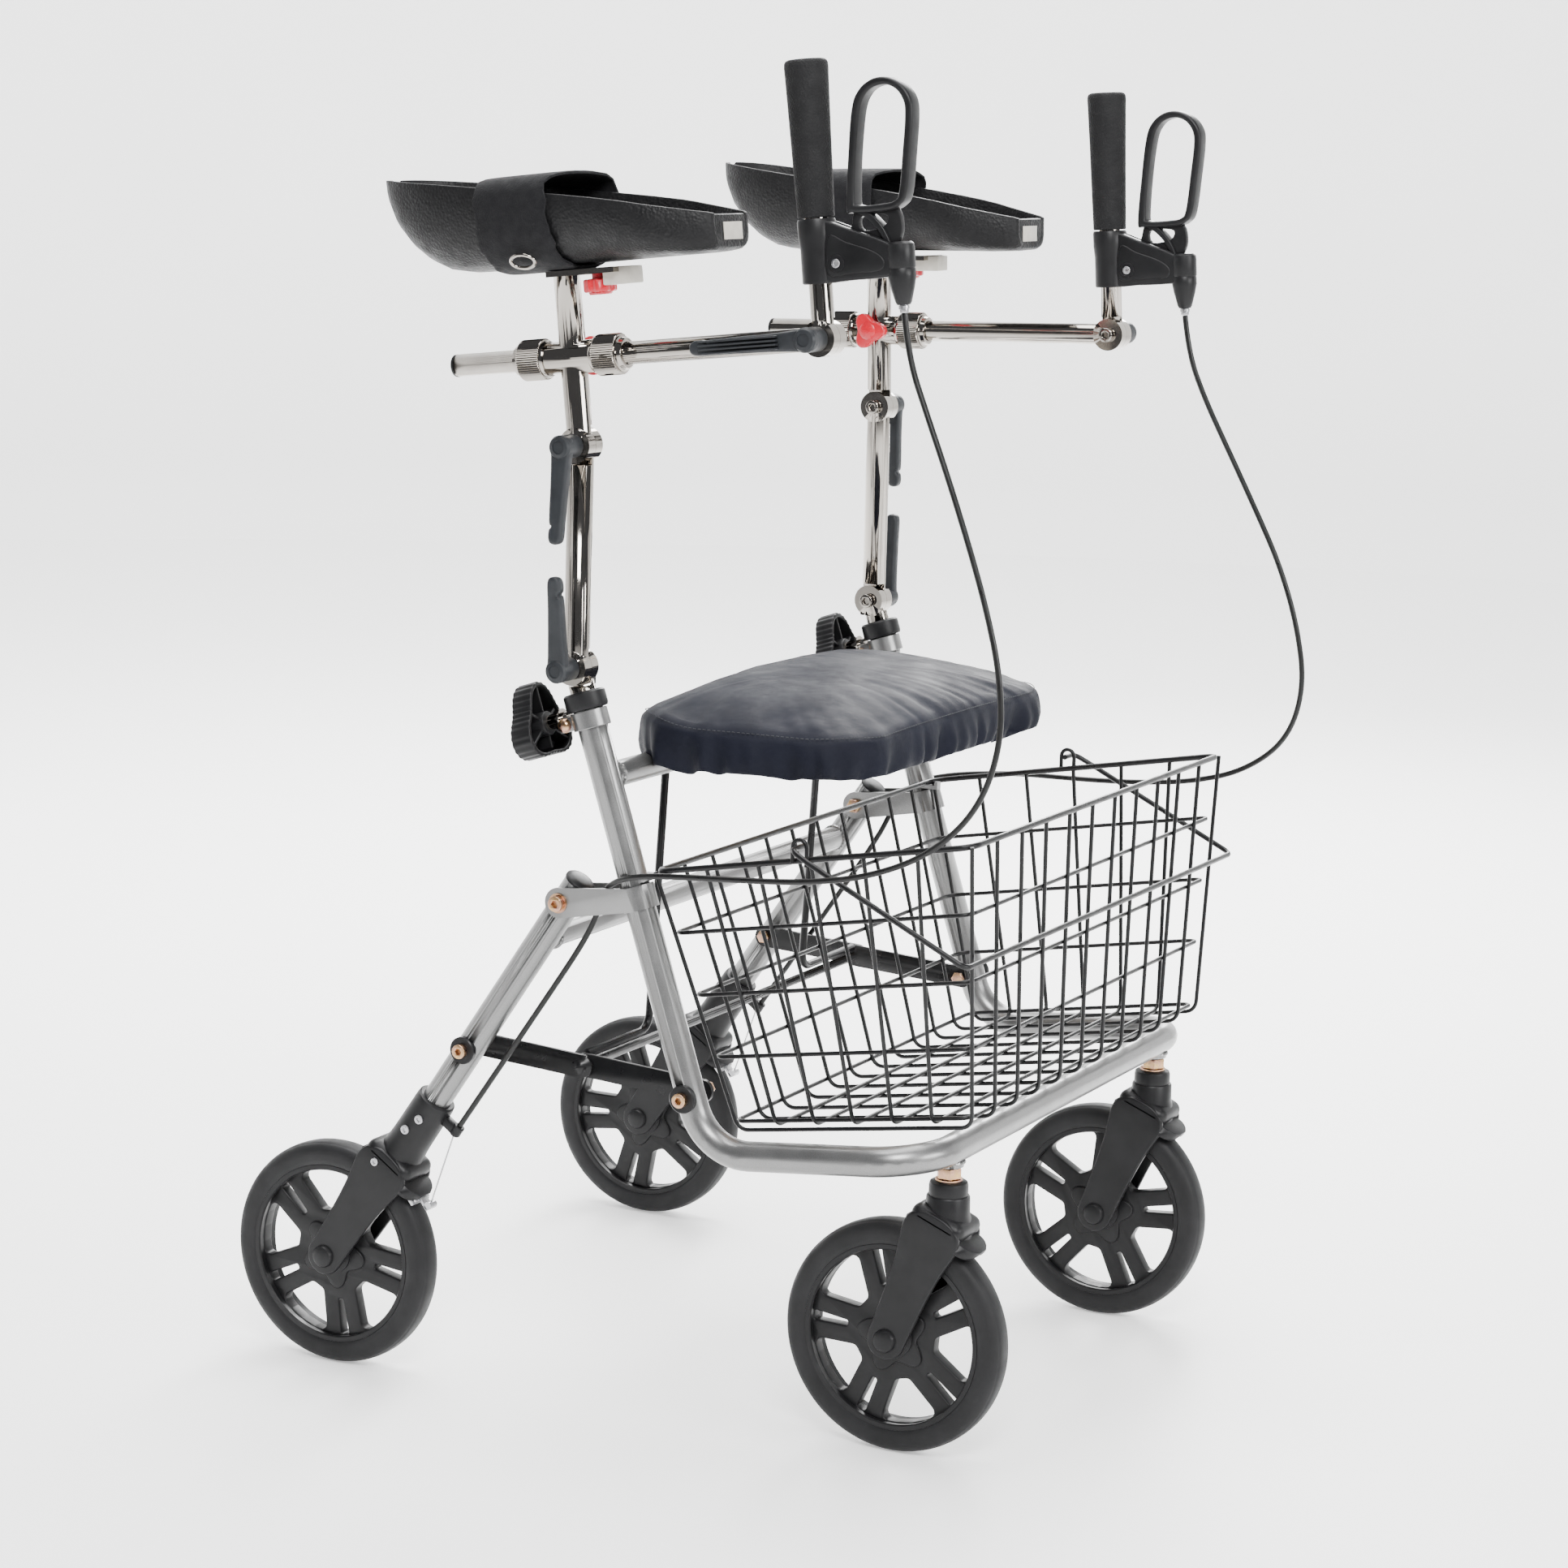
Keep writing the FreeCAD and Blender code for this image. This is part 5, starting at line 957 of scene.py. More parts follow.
def fork_body(name):
    """Blades, crown and hood about the axle, the fork's length along Z."""
    half = [(17, 0), (17.8, 24), (19.2, 50), (21.6, 74), (25.0, 92), (26.4, 103), (24, 112), (17, 118),
            (8, 121)]
    foot = fan(17, [math.radians(angle) for angle in range(-160, -19, 20)])
    blade = flowing(foot + half + [(-y, z) for y, z in reversed(half)], 4)
    pieces = []
    for side in (-1, 1):
        low, high = sorted((side * 17.0, side * 22.6))
        pieces.append(plate(name + "_blade", blade, low, high, edge=2.0))
        cap = lathe(name + "_cap", [(0, 27.4), (6.2, 27.2), (8.8, 26.2), (10, 24.4), (10.2, 21.5),
                                    (0, 21.5)], steps=40)
        if side < 0:
            cap.data.transform(Matrix.Rotation(math.pi, 4, "Z"))
        pieces.append(cap)
    pieces.append(brick(name + "_crown", (-22.6, -25, 104.8), (22.6, 25, 123), round_edge=8.5, segments=5))
    rings = []
    steps = 20
    for step in range(steps + 1):
        turn = math.radians(HOOD[0] + (HOOD[1] - HOOD[0]) * step / steps)
        lip = max(0.0, step - steps + 4) / 4
        wide = 22.4 * math.sqrt(max(0.0, 1 - (0.9 * lip) ** 2))
        outline = [(-wide, 103), (-wide, 106.4), (-wide + 4, 112), (wide - 4, 112), (wide, 106.4),
                   (wide, 103), (wide - 3, 103), (wide - 4, 105.4), (4 - wide, 105.4), (3 - wide, 103)]
        rings.append([(x, -(radius + 1.6 * lip) * math.sin(turn), (radius + 1.6 * lip) * math.cos(turn))
                      for x, radius in outline])
    pieces.append(bevelled(skin(name + "_hood", rings), 1.0, 2, 40))
    return pieces


class FRAME_OT_forks(bpy.types.Operator):
    """Rear forks, caster forks, axle caps and brake shoes"""
    bl_idname = "walking_frame.forks"
    bl_label = "Forks and brake shoes"

    def execute(self, context):
        for side, word in SIDES:
            self.rear(side, word)
            self.caster(side, word)
            self.shoe(word)
        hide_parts("rear_forks")
        return {"FINISHED"}

    def rear(self, side, word):
        pieces = fork_body("rear_fork")
        profile = [(12.8, 104), (21, 104), (20.6, 116), (19.4, 124), (18.4, 132), (18, 140), (17.6, 180),
                   (17, 184), (15.6, 185), (12.8, 185)]
        pieces.append(lathe("sleeve", profile, UP, 64))
        pieces.append(brick("stop_arm", (-4, -33, STOP_RISE - 10), (4, -14, STOP_RISE - 1), round_edge=1.5))
        pieces.append(lathe("stop", [(1.2, -10), (4.2, -10), (5, -9), (5, -0.6), (4.2, 0), (1.2, 0)],
                            shift(0, -STOP_AHEAD, STOP_RISE) @ UP, 32))
        fork = joined("rear_fork_" + word, pieces)
        fork.data.transform(leg_place(word))
        dressed(fork, "rear_frame", "black_plastic")
        screws = [socket_screw("screw", side * 16.9, y, z, side, 4.0, 2.6)
                  for y, z in ((2.5, 150), (-3.0, 167))]
        screws.append(socket_screw("screw", side * 22.0, 8, 108, side, 3.6, 2.4))
        screw = joined("fork_screws_" + word, screws)
        screw.data.transform(leg_place(word))
        dressed(screw, "rear_frame", "steel_grey")

    def caster(self, side, word):
        lean = math.atan2(-AXLE_REACH - CASTER_Y, 110)
        place = shift(side * FRONT_TRACK, -AXLE_REACH, WHEEL) @ Matrix.Rotation(lean, 4, "X")
        fork = fork_body("caster_fork")
        for piece in fork:
            piece.data.transform(place)
        stem = lathe("stem", [(6.1, 180), (19, 180), (20.6, 188), (21, 196), (20.4, 206), (18.6, 212),
                              (18.2, 226), (17.4, 227.4), (16.4, 227.6), (16.4, 236), (15.6, 238.6),
                              (13, 239.9), (6.1, 239.9)], shift(side * FRONT_TRACK, CASTER_Y, 0) @ UP, 64)
        middle = shift(side * FRONT_TRACK, CASTER_Y + 17, 2 * WHEEL) @ Matrix.Rotation(lean, 4, "X")
        horn = lathe("horn", [(0, -21), (8, -19), (13, -13), (15.4, -5), (15.6, 4), (13.6, 12), (8.6, 18),
                              (0, 20)], middle @ UP, 40)
        dressed(joined("caster_fork_%s_look" % word, fork + [stem, horn]), "caster_" + word,
                "black_plastic", "caster_fork_" + word)

    def shoe(self, word):
        lean = Matrix.Rotation(SHOE_LEAN, 4, "X")
        pad = brick("pad", (-13, -8, 101.8), (13, 8, 105), round_edge=0.8)
        carrier = brick("carrier", (-11, -7, 105), (11, 7, 107.6), round_edge=0.6)
        tongue = brick("tongue", (-5, -18, 106.4), (5, 4, 109.6), round_edge=0.8)
        pinch = lathe("pinch", [(0, -5), (3.6, -5), (3.6, 5), (0, 5)], shift(*PINCH), 24)
        for piece in (pad, carrier, tongue, pinch):
            piece.data.transform(lean)
        inner_wire = wire("inner_wire", [lean @ Vector(PINCH), Vector((0, -STOP_AHEAD, STOP_RISE - 11))],
                          0.7 * MM)
        shoe = joined("brake_shoe_%s_look" % word, [pad, carrier, tongue, pinch, inner_wire])
        shoe.data.transform(leg_place(word))
        dressed(shoe, "shoe_" + word, "steel_grey", "brake_shoe_" + word)


# ---------------------------------------------------------------- basket

BASKET_TOP = {"rear": Vector((267, -47.5, 476)), "front": Vector((267, -336, 530))}
BASKET_FLOOR = {"rear": Vector((235, -115, 257)), "front": Vector((243, -334, 294))}
BAIL_EYE = (271, -184, 513)  # the loop that the bail hinges in
BAIL = [(264, -184, 513), (286, -184, 513), (288, -200, 505), (288, -344, 436)]
LEVELS = (0.24, 0.48, 0.72, 0.97)  # wires round the basket, as shares of its depth
LEVEL_INSET = 2.6  # they are set in from the sides, and back, by this
COLUMNS, HOOPS = 12, 5  # wires from front to rear and from side to side


def mirrored(spot):
    return Vector((-spot[0], spot[1], spot[2]))


def basket_loop(share):
    """The four corners of a level of the basket, 0 at the rim and 1 at the floor."""
    rear = BASKET_TOP["rear"].lerp(BASKET_FLOOR["rear"], share)
    front = BASKET_TOP["front"].lerp(BASKET_FLOOR["front"], share)
    return [rear, front, mirrored(front), mirrored(rear)]


def ring_route(corners, radius):
    """A closed route round four corners, each one a bend."""
    route = []
    for index in range(4):
        route += arc_spots(corners[index], corners[index - 1], corners[(index + 1) % 4], radius, 6)
    return route


class FRAME_OT_basket(bpy.types.Operator):
    """Wire basket and its folded-down bail"""
    bl_idname = "walking_frame.basket"
    bl_label = "Basket"

    def execute(self, context):
        thin, thick = sizes().grille_wire, sizes().rim_wire
        pieces = [wire("rim", ring_route(basket_loop(0.0), 14), thick, cyclic=True, resolution=5)]
        for share in LEVELS:
            corners = [spot + Vector((-math.copysign(LEVEL_INSET, spot.x), LEVEL_INSET, 0))
                       for spot in basket_loop(share)]
            pieces.append(wire("level", ring_route(corners, 11), thin, cyclic=True))
        for index in range(COLUMNS):
            share = index / (COLUMNS - 1)
            route = [mirrored(a).lerp(a, share) for a in (BASKET_TOP["rear"], BASKET_FLOOR["rear"],
                                                          BASKET_FLOOR["front"], BASKET_TOP["front"])]
            pieces.append(wire("column", rounded_route(route, 11), thin))
        for index in range(1, HOOPS + 1):
            share = index / (HOOPS + 1)
            top = BASKET_TOP["rear"].lerp(BASKET_TOP["front"], share)
            low = BASKET_FLOOR["rear"].lerp(BASKET_FLOOR["front"], share) + Vector((0, 0, 3.4))
            route = [mirrored(top), mirrored(low), low, top]
            pieces.append(wire("hoop", rounded_route(route, 11), thin))
        for side in (-1, 1):
            x, y, z = side * BAIL_EYE[0], BAIL_EYE[1], BAIL_EYE[2]
            share = (y - BASKET_TOP["rear"].y) / (BASKET_TOP["front"].y - BASKET_TOP["rear"].y)
            rim_z = BASKET_TOP["rear"].z + share * (BASKET_TOP["front"].z - BASKET_TOP["rear"].z)
            loop = [(x, y - 6.4, rim_z - 4), (x, y - 6.4, z - 4)]
            loop += [(x, y - 6.4 * math.cos(turn), z + 6.4 * math.sin(turn))
                     for turn in (math.pi * step / 10 for step in range(11))]
            loop += [(x, y + 6.4, z - 4), (x, y + 6.4, rim_z - 2)]
            pieces.append(wire("eye", loop, thin))
        dressed(joined("wire_basket_look", pieces), "basket", "black_metal", "wire_basket", angle=50)
        route = BAIL + [mirrored(spot) for spot in reversed(BAIL)]
        bail = wire("basket_bail_look", rounded_route(route, 8), 2.4 * MM, resolution=5)
        dressed(bail, "bail", "black_metal", "basket_bail", angle=50)
        return {"FINISHED"}


# ---------------------------------------------------------------- seat

SEAT_REAR_HALF, SEAT_FRONT_HALF = 246.0, 200.0
SEAT_REAR_Y, SEAT_FRONT_Y = 20.0, -202.0
SEAT_CORNER = 66.0
SKIRT = 557.0  # height of the skirt's lower edge
SEAM, SEAM_RISE = 585.0, 4.0  # height of the top's edge in front, and its rise to the rear
CROWN, CROWN_RISE = 27.0, 12.0  # height of the crown over it
COVER_LIFT = 2.4  # the cover's top above the padding


def seat_loop(inset, count):
    """Evenly spaced spots round the seat, square corners rounded, as (x, y)."""
    rear, front = SEAT_REAR_HALF - inset, SEAT_FRONT_HALF - inset
    corners = [(rear, SEAT_REAR_Y - inset), (-rear, SEAT_REAR_Y - inset), (-front, SEAT_FRONT_Y + inset),
               (front, SEAT_FRONT_Y + inset)]
    depth = SEAT_REAR_Y - SEAT_FRONT_Y - 2 * inset
    loop = rounded_loop(corners, min(max(SEAT_CORNER - inset * 0.5, 12), 0.42 * depth), 10)
    lengths = [0.0]
    for start, end in zip(loop, loop[1:] + loop[:1]):
        lengths.append(lengths[-1] + math.dist(start, end))
    spots, index = [], 0
    for step in range(count):
        reach = lengths[-1] * step / count
        while lengths[index + 1] < reach:
            index += 1
        share = (reach - lengths[index]) / max(lengths[index + 1] - lengths[index], 1e-9)
        start, end = loop[index], loop[(index + 1) % len(loop)]
        spots.append((start[0] + (end[0] - start[0]) * share, start[1] + (end[1] - start[1]) * share))
    return spots


def seat_top(x, y):
    """Height of the crowned top, before wrinkles."""
    along = (y - SEAT_FRONT_Y) / (SEAT_REAR_Y - SEAT_FRONT_Y)
    half = SEAT_FRONT_HALF + (SEAT_REAR_HALF - SEAT_FRONT_HALF) * along
    across, ahead = min(1.0, abs(x) / half), min(1.0, abs(2 * along - 1))
    crown = (1 - across ** 2.4) ** 0.75 * (1 - ahead ** 3.0) ** 0.75
    return SEAM + SEAM_RISE * along + (CROWN + CROWN_RISE * along) * crown


class FRAME_OT_seat(bpy.types.Operator):
    """Padded seat in its gathered nylon cover, on a board"""
    bl_idname = "walking_frame.seat"
    bl_label = "Seat"

    def execute(self, context):
        board = skin("seat_board_look", [[(x, y, height) for x, y in seat_loop(26, 160)]
                                         for height in (565.1, 572.8)])
        dressed(board, "seat_lift", "seat_board", "seat_board")
        chance = random.Random(sizes().seed)
        count = 720  # spots in each ring of the cover
        waves = [(chance.randint(34, 90), chance.uniform(0, 2 * math.pi), chance.uniform(0.4, 1.0))
                 for _ in range(9)]
        folds = [(chance.uniform(0, 1), chance.uniform(0.004, 0.012), chance.uniform(0.4, 1.0))
                 for _ in range(70)]

        def gather(share):
            ripple = sum(size * math.sin(number * 2 * math.pi * share + phase)
                         for number, phase, size in waves) / 4.5
            for spot, width, depth in folds:
                gap = abs((share - spot + 0.5) % 1 - 0.5)
                ripple -= depth * 1.4 * math.exp(-(gap / width) ** 2)
            return ripple

        ripples = [gather(index / count) for index in range(count)]
        rings = []
        for inset, height, gathered in ((24, 566, 0.0), (16, 563, 0.6), (7, 558.4, 1.4), (2.0, SKIRT, 2.4)):
            rings.append([(x, y, height + 0.3 * gathered * ripple) for (x, y), ripple in
                          zip(self.pushed(seat_loop(inset, count), gathered, ripples), ripples)])
        for inset, share, gathered in ((-0.4, 0.05, 2.9), (-1.6, 0.2, 2.7), (-2.2, 0.4, 2.1),
                                       (-1.4, 0.6, 1.4), (-0.2, 0.78, 0.8), (1.0, 0.9, 0.4),
                                       (2.2, 0.955, 0.2), (3.4, 0.975, 0.15), (4.6, 1.0, 0.3),
                                       (6.4, 1.03, 0.45), (10, 1.055, 0.6)):
            rings.append([(x, y, SKIRT + (seat_top(x, y) - SKIRT) * share + 0.8 * gathered * ripple)
                          for (x, y), ripple in
                          zip(self.pushed(seat_loop(inset, count), gathered, ripples), ripples)])
        for inset in (16, 24, 34, 46, 60, 76, 92):
            fade = math.exp(-inset / 26)
            rings.append([(x, y, seat_top(x, y) + COVER_LIFT + 1.7 * fade * ripple
                           + 0.7 * math.sin(x / 31 + 1.3 * math.sin(y / 23)) * math.sin(y / 27 + x / 60))
                          for (x, y), ripple in zip(seat_loop(inset, count), ripples)])
        middle = (SEAT_REAR_Y + SEAT_FRONT_Y) / 2
        for share in (0.7, 0.4, 0.15):
            spots = [(x * share, middle + (y - middle) * share) for x, y in seat_loop(100, count)]
            rings.append([(x, y, seat_top(x, y) + COVER_LIFT) for x, y in spots])
        cover = skin("seat_cushion_look", rings)
        dressed(cover, "seat_lift", "cover_fabric", "seat_cushion", angle=70)
        self.stitches()
        return {"FINISHED"}

    def pushed(self, loop, size, ripples):
        """A ring pushed in and out by the gathers."""
        spots = []
        for index, (x, y) in enumerate(loop):
            before, after = loop[index - 1], loop[(index + 1) % len(loop)]
            along = Vector((after[0] - before[0], after[1] - before[1])).normalized()
            reach = 1.5 * size * ripples[index]
            spots.append((x + along.y * reach, y - along.x * reach))
        return spots

    def stitches(self):
        """Short threads along the seam between the top and the skirt."""
        loop = seat_loop(4.6, 1400)
        spots, faces = [], []
        for index in range(0, len(loop) - 5, 5):
            start, end = loop[index], loop[index + 3]
            first, last = (Vector((x, y, seat_top(x, y) + 1.2)) * MM for x, y in (start, end))
            along = (last - first).normalized()
            across = along.cross(Vector((0, 0, 1)))
            base = len(spots)
            for spot in (first, last):
                for angle in range(6):
                    turn = math.pi * angle / 3
                    out = across * math.cos(turn) + Vector((0, 0, 1)) * math.sin(turn)
                    spots.append(spot + out * 0.42 * MM)
            faces += [(base + a, base + (a + 1) % 6, base + 6 + (a + 1) % 6, base + 6 + a)
                      for a in range(6)]
            faces += [tuple(base + a for a in range(6)), tuple(base + 6 + a for a in range(6))]
        mesh = bpy.data.meshes.new("seat_stitches")
        mesh.from_pydata(spots, [], faces)
        thread = bpy.data.objects.new("seat_stitches", mesh)
        bpy.context.scene.collection.objects.link(thread)
        in_edit_mode(thread, lambda: bpy.ops.mesh.normals_make_consistent(inside=False))
        dressed(thread, "seat_lift", "cover_fabric", look="thread")


# ---------------------------------------------------------------- arms

class FRAME_OT_posts(bpy.types.Operator):
    """Chrome posts, links, sleeves and handle tubes with their rings, knobs and plugs"""
    bl_idname = "walking_frame.posts"
    bl_label = "Posts and sleeves"

    def execute(self, context):
        ring = self.collet()
        for side, word in SIDES:
            for node, body in (("height_post", "height"), ("link_post", "link"), ("arm_cross", "cross"),
                               ("handle_tube", "tube"), ("handle_stem", "handle")):
                kept("%s_%s" % (node, word), "%s_%s" % (body, word))
            place = arm_place(word)
            rings = []
            for heading in (-1, 1):
                end = shift(0, heading * 25, SLEEVE_RISE) @ turned_to((0, heading, 0))
                rings.append(copied("ring", ring, place @ end))
            dressed(joined("collet_rings_%s_look" % word, rings), "cross_" + word, "chrome",
                    "collet_rings_" + word)
            self.knobs(side, word, place)
            behind = place @ shift(0, 112, SLEEVE_RISE) @ turned_to((0, 1, 0))
            plug = lathe("tube_plug_" + word, [(0, 3.4), (7.6, 3.2), (9.3, 2.2), (9.6, 0.1), (8, 0.1),
                                               (8, -3), (0, -3)], behind, 40)
            dressed(plug, "tube_" + word, "black_plastic")
            block = brick("plate_block_" + word, (-11, -66, 128), (11, -40, 142.2), place, 1.2)
            dressed(block, "cross_" + word, "steel_grey", look="label")
        bpy.data.objects.remove(ring)
        return {"FINISHED"}

    def collet(self):
        """A knurled ring with a stepped collar, starting at its origin and running along X."""
        knurl = plate("knurl", lobes(16.7, 0.35, 56, 4), 0, 21.5, [polar(48, 9.7)], edge=0.9)
        step = lathe("step", [(9.6, 21), (14.8, 21), (14.8, 22.6), (13.4, 23.2), (12.6, 26.6), (12, 27),
                              (9.6, 27)], steps=64)
        shoulder = lathe("shoulder", [(9.6, -3), (14.6, -3), (15.2, -2), (15.2, 0.3), (9.6, 0.3)], steps=64)
        return joined("collet", [knurl, step, shoulder])

    def knobs(self, side, word, place):
        """The wing knob beside the sleeve and the star knob under the plate."""
        near = 16.5
        wing = plate("wing", lobes(14.2, 3.6, 3, 16), near + 1.5, near + 9.5, edge=1.8)
        hub = lathe("hub", [(0, near), (7.5, near), (8.2, near + 1.2), (8.2, near + 9.8),
                            (6.4, near + 10.9), (0, near + 11)], steps=40)
        knob = joined("wing_knob", [wing, hub])
        knob.data.transform(Matrix.Rotation(0 if side < 0 else math.pi, 4, "Z"))
        knob.data.transform(place @ shift(0, 0, SLEEVE_RISE))
        star = plate("star", lobes(12.9, 0.8, 10, 8), 123, 134, edge=1.8)
        star_hub = lathe("star_hub", [(0, 120.6), (9, 121), (10, 122.4), (8.5, 134), (6.2, 134.5),
                                      (6.2, 138), (0, 138)], steps=40)
        crown = joined("star_knob", [star, star_hub])
        crown.data.transform(place @ shift(0, -31, 0) @ UP)
        dressed(joined("red_knobs_%s_look" % word, [knob, crown]), "cross_" + word, "red_plastic",
                "red_knobs_" + word)


def clamp_lever(name, reach, ribbed=False):
    """A clamping lever pointing along Z from its hub, which lies outward along X."""
    blade = flowing([(-9.2, -3), (-8.2, 12), (-7.2, 32), (-6.4, reach - 22), (-6.0, reach - 5), (-3, reach),
                     (3, reach), (5.8, reach - 4), (6.0, reach - 11), (4.0, reach - 14.5),
                     (6.2, reach - 18.5), (7.2, 32), (8.2, 12), (9.2, -3), (6.2, -8.2), (0, -9.8),
                     (-6.2, -8.2)], 4)
    pieces = [plate("blade", blade, 25.5, 35.2, edge=2.6),
              lathe("hub", [(4.2, 11.4), (9.0, 11.4), (9.8, 12.6), (10, 27), (10, 34), (8.4, 36.2),
                            (5.4, 37), (5.2, 36.0), (0, 36.0), (0, 13), (4.2, 13)], steps=48)]
    for vertex in pieces[0].data.vertices:
        vertex.co.x += 8.0 * MM * max(0.0, vertex.co.z / MM - 8) / reach
    if ribbed:
        for row in range(4):
            y = -4.8 + row * 3.2
            pieces.append(brick("rib", (36.5, y - 0.8, 22), (43.0, y + 0.8, reach - 8), round_edge=0.5))
    return joined(name, pieces)


def joint_bolt():
    """The polished bolt through a tilt joint with its head on the inner side."""
    head = plate("head", polar(32, 6.5), -17, -11.3, [polar(6, 3.3)], edge=0.8)
    rest = lathe("rest", [(0, -14.2), (5, -14.2), (5, -11.4), (4, -11.4), (4, 13), (0, 13)], steps=28)
    return joined("bolt", [head, rest])


class FRAME_OT_levers(bpy.types.Operator):
    """Clamping levers of the tilt joints"""
    bl_idname = "walking_frame.levers"
    bl_label = "Clamping levers"

    def execute(self, context):
        plain, ribbed, bolt = clamp_lever("plain", 78.5), clamp_lever("ribbed", 99.5, True), joint_bolt()
        for side, word in SIDES:
            flip = Matrix.Rotation(0 if side > 0 else math.pi, 4, "Z")
            forward = arm_place(word).to_3x3().to_4x4() @ Matrix.Rotation(-math.pi / 2, 4, "X")
            for key, model, spot, turn in (
                    ("lower", plain, "lower_tilt_" + word, Matrix()),
                    ("upper", plain, "upper_tilt_" + word, Matrix.Rotation(math.pi, 4, "X")),
                    ("handle", ribbed, "handle_tilt_" + word, forward)):
                place = Matrix.Translation(joint_spot(spot)) @ turn @ flip
                body = "%s_clamp_%s" % (key, word)
                node = "%s_lever_%s" % (key, word)
                dressed(copied(node + "_look", model, place), body, "charcoal_plastic", node)
                dressed(copied(node + "_bolt", bolt, place), body, "charcoal_plastic", look="chrome")
        for piece in (plain, ribbed, bolt):
            bpy.data.objects.remove(piece)
        return {"FINISHED"}


# ---------------------------------------------------------------- handles

LOOP_MIDDLE, LOOP_WIDER = -62.0, 1.13  # the lever's loop is widened about this y


class FRAME_OT_handles(bpy.types.Operator):
    """Hand grips, brake bodies and brake levers"""
    bl_idname = "walking_frame.handles"
    bl_label = "Handles and brakes"

    def execute(self, context):
        for side, word in SIDES:
            place = handle_place(word)
            grip = lathe("hand_grip_%s_look" % word,
                         [(9.5, 95), (14.2, 95), (14.8, 95.8), (15.1, 110), (15.6, 135), (16.4, 170),
                          (17.3, 205), (17.6, 212), (17.3, 215.4), (16.2, 217.2), (14, 218.2), (0, 218.4),
                          (0, 214), (9.5, 214)], place @ UP, 64)
            dressed(grip, "handle_" + word, "grip_foam", "hand_grip_" + word)
            self.body(word, place)
            self.lever(word, place)
        return {"FINISHED"}

    def body(self, word, place):
        """The brake body on the stem, its cable housing, ferrule and pin screws."""
        clamp = lathe("clamp", [(9.6, 43), (13.2, 43), (14.2, 44), (14.2, 70), (15.2, 80), (15.4, 92),
                                (14.6, 94), (9.6, 94)], UP, 64)
        arm = plate("arm", flowing([(-6, 45), (-30, 44), (-60, 44.5), (-70, 47), (-74, 54), (-73, 66),
                                    (-60, 74), (-44, 80), (-28, 86), (-12, 92), (-4, 90), (-3, 66)], 4),
                    -9.4, 9.4, edge=2.4)
        boss = lathe("boss", [(0, -11.2), (6.4, -11), (7, -10), (7, 10), (6.4, 11), (0, 11.2)],
                     shift(0, *BRAKE_PIN), 40)
        ridge = plate("ridge", flowing([(-12, 50), (-34, 49), (-58, 50), (-62, 58), (-52, 66), (-30, 74),
                                        (-14, 80)], 4), -10.2, 10.2, edge=1.2)
        profile = [(0, 71.6), (8.8, 71.4), (11, 69.6), (11.4, 66), (11.4, 52), (10.8, 50.8), (11.2, 50),
                   (11.2, 44), (9.6, 36), (6.6, 24.6), (5.4, 22.4), (4.4, 22.2), (0, 22.2)]
        housing = lathe("housing", profile, shift(0, -CABLE_AHEAD, 0) @ UP, 56)
        slot = brick("slot", (-3.5, -80, 62), (3.5, -15, 130))
        solid = joined("brake_body_%s_look" % word, [carved(arm, slot), clamp, boss, ridge, housing])
        solid.data.transform(place)
        dressed(solid, "handle_" + word, "black_plastic", "brake_body_" + word)
        ferrule = lathe("ferrule", [(2.2, 15.9), (3.3, 16), (3.6, 16.8), (3.6, 19), (4.4, 19.2),
                                    (4.4, 21.6), (3.4, 22), (3.4, 26), (0, 26), (0, 17), (2.2, 17)],
                        place @ shift(0, -CABLE_AHEAD, 0) @ UP, 32)
        screws = [socket_screw("pin", side * 11.0, *BRAKE_PIN, side, 3.6, 1.6, place) for side in (-1, 1)]
        dressed(joined("brake_metal_" + word, [ferrule] + screws), "handle_" + word, "black_plastic",
                look="steel_grey")

    def lever(self, word, place):
        """The loop lever: loop, web and the rim of its sector."""
        outer = [(-34, 100), (-38, 140), (-43, 176), (-49, 190), (-59, 197.5), (-70, 198.5), (-81, 193),
                 (-88.5, 182), (-89.5, 168), (-86, 140), (-81, 108), (-75, 99), (-66, 96), (-46, 95.5),
                 (-38, 96.5)]
        inner = [(-41, 107), (-44, 142), (-49, 174), (-54, 186), (-61, 191.5), (-70, 192.5), (-78, 188),
                 (-83, 179), (-83.5, 167), (-80, 140), (-75.5, 110), (-71, 103), (-62, 101.5), (-50, 101),
                 (-43, 102)]
        outer, inner = ([(LOOP_MIDDLE + (y - LOOP_MIDDLE) * LOOP_WIDER, z) for y, z in loop]
                        for loop in (outer, inner))
        loop = plate("loop", flowing(outer, 5), -8, 8, [flowing(inner, 5)], edge=2.4)
        web = plate("web", flowing([(-20, 54), (-40, 57), (-60, 62), (-71, 70), (-76, 82), (-73, 97),
                                    (-60, 99), (-46, 98), (-36, 99), (-31, 84), (-22, 68), (-17, 60)], 4),
                    -2.9, 2.9, [flowing([(-42, 82), (-60, 84), (-64, 92), (-52, 94), (-40, 92)], 3)],
                    edge=0.9)
        sector = [(-21 - radius * math.sin(math.radians(angle)),
                   58 + radius * math.cos(math.radians(angle)))
                  for radius, turns in ((47, range(24, 92, 4)), (42, range(88, 20, -4))) for angle in turns]
        rim = plate("rim", sector, -5.6, 5.6, edge=1.0)
        lever = joined("brake_lever_%s_look" % word, [loop, web, rim])
        lever.data.transform(place)
        dressed(lever, "lever_" + word, "black_plastic", "brake_lever_" + word)


# ---------------------------------------------------------------- armrests

TROUGH_FLOOR = 146.5  # above the upper tilt joint, in the arm's frame
TROUGH_WALL = 4.6
TROUGH_STEPS = 14  # faces round a trough from edge to edge


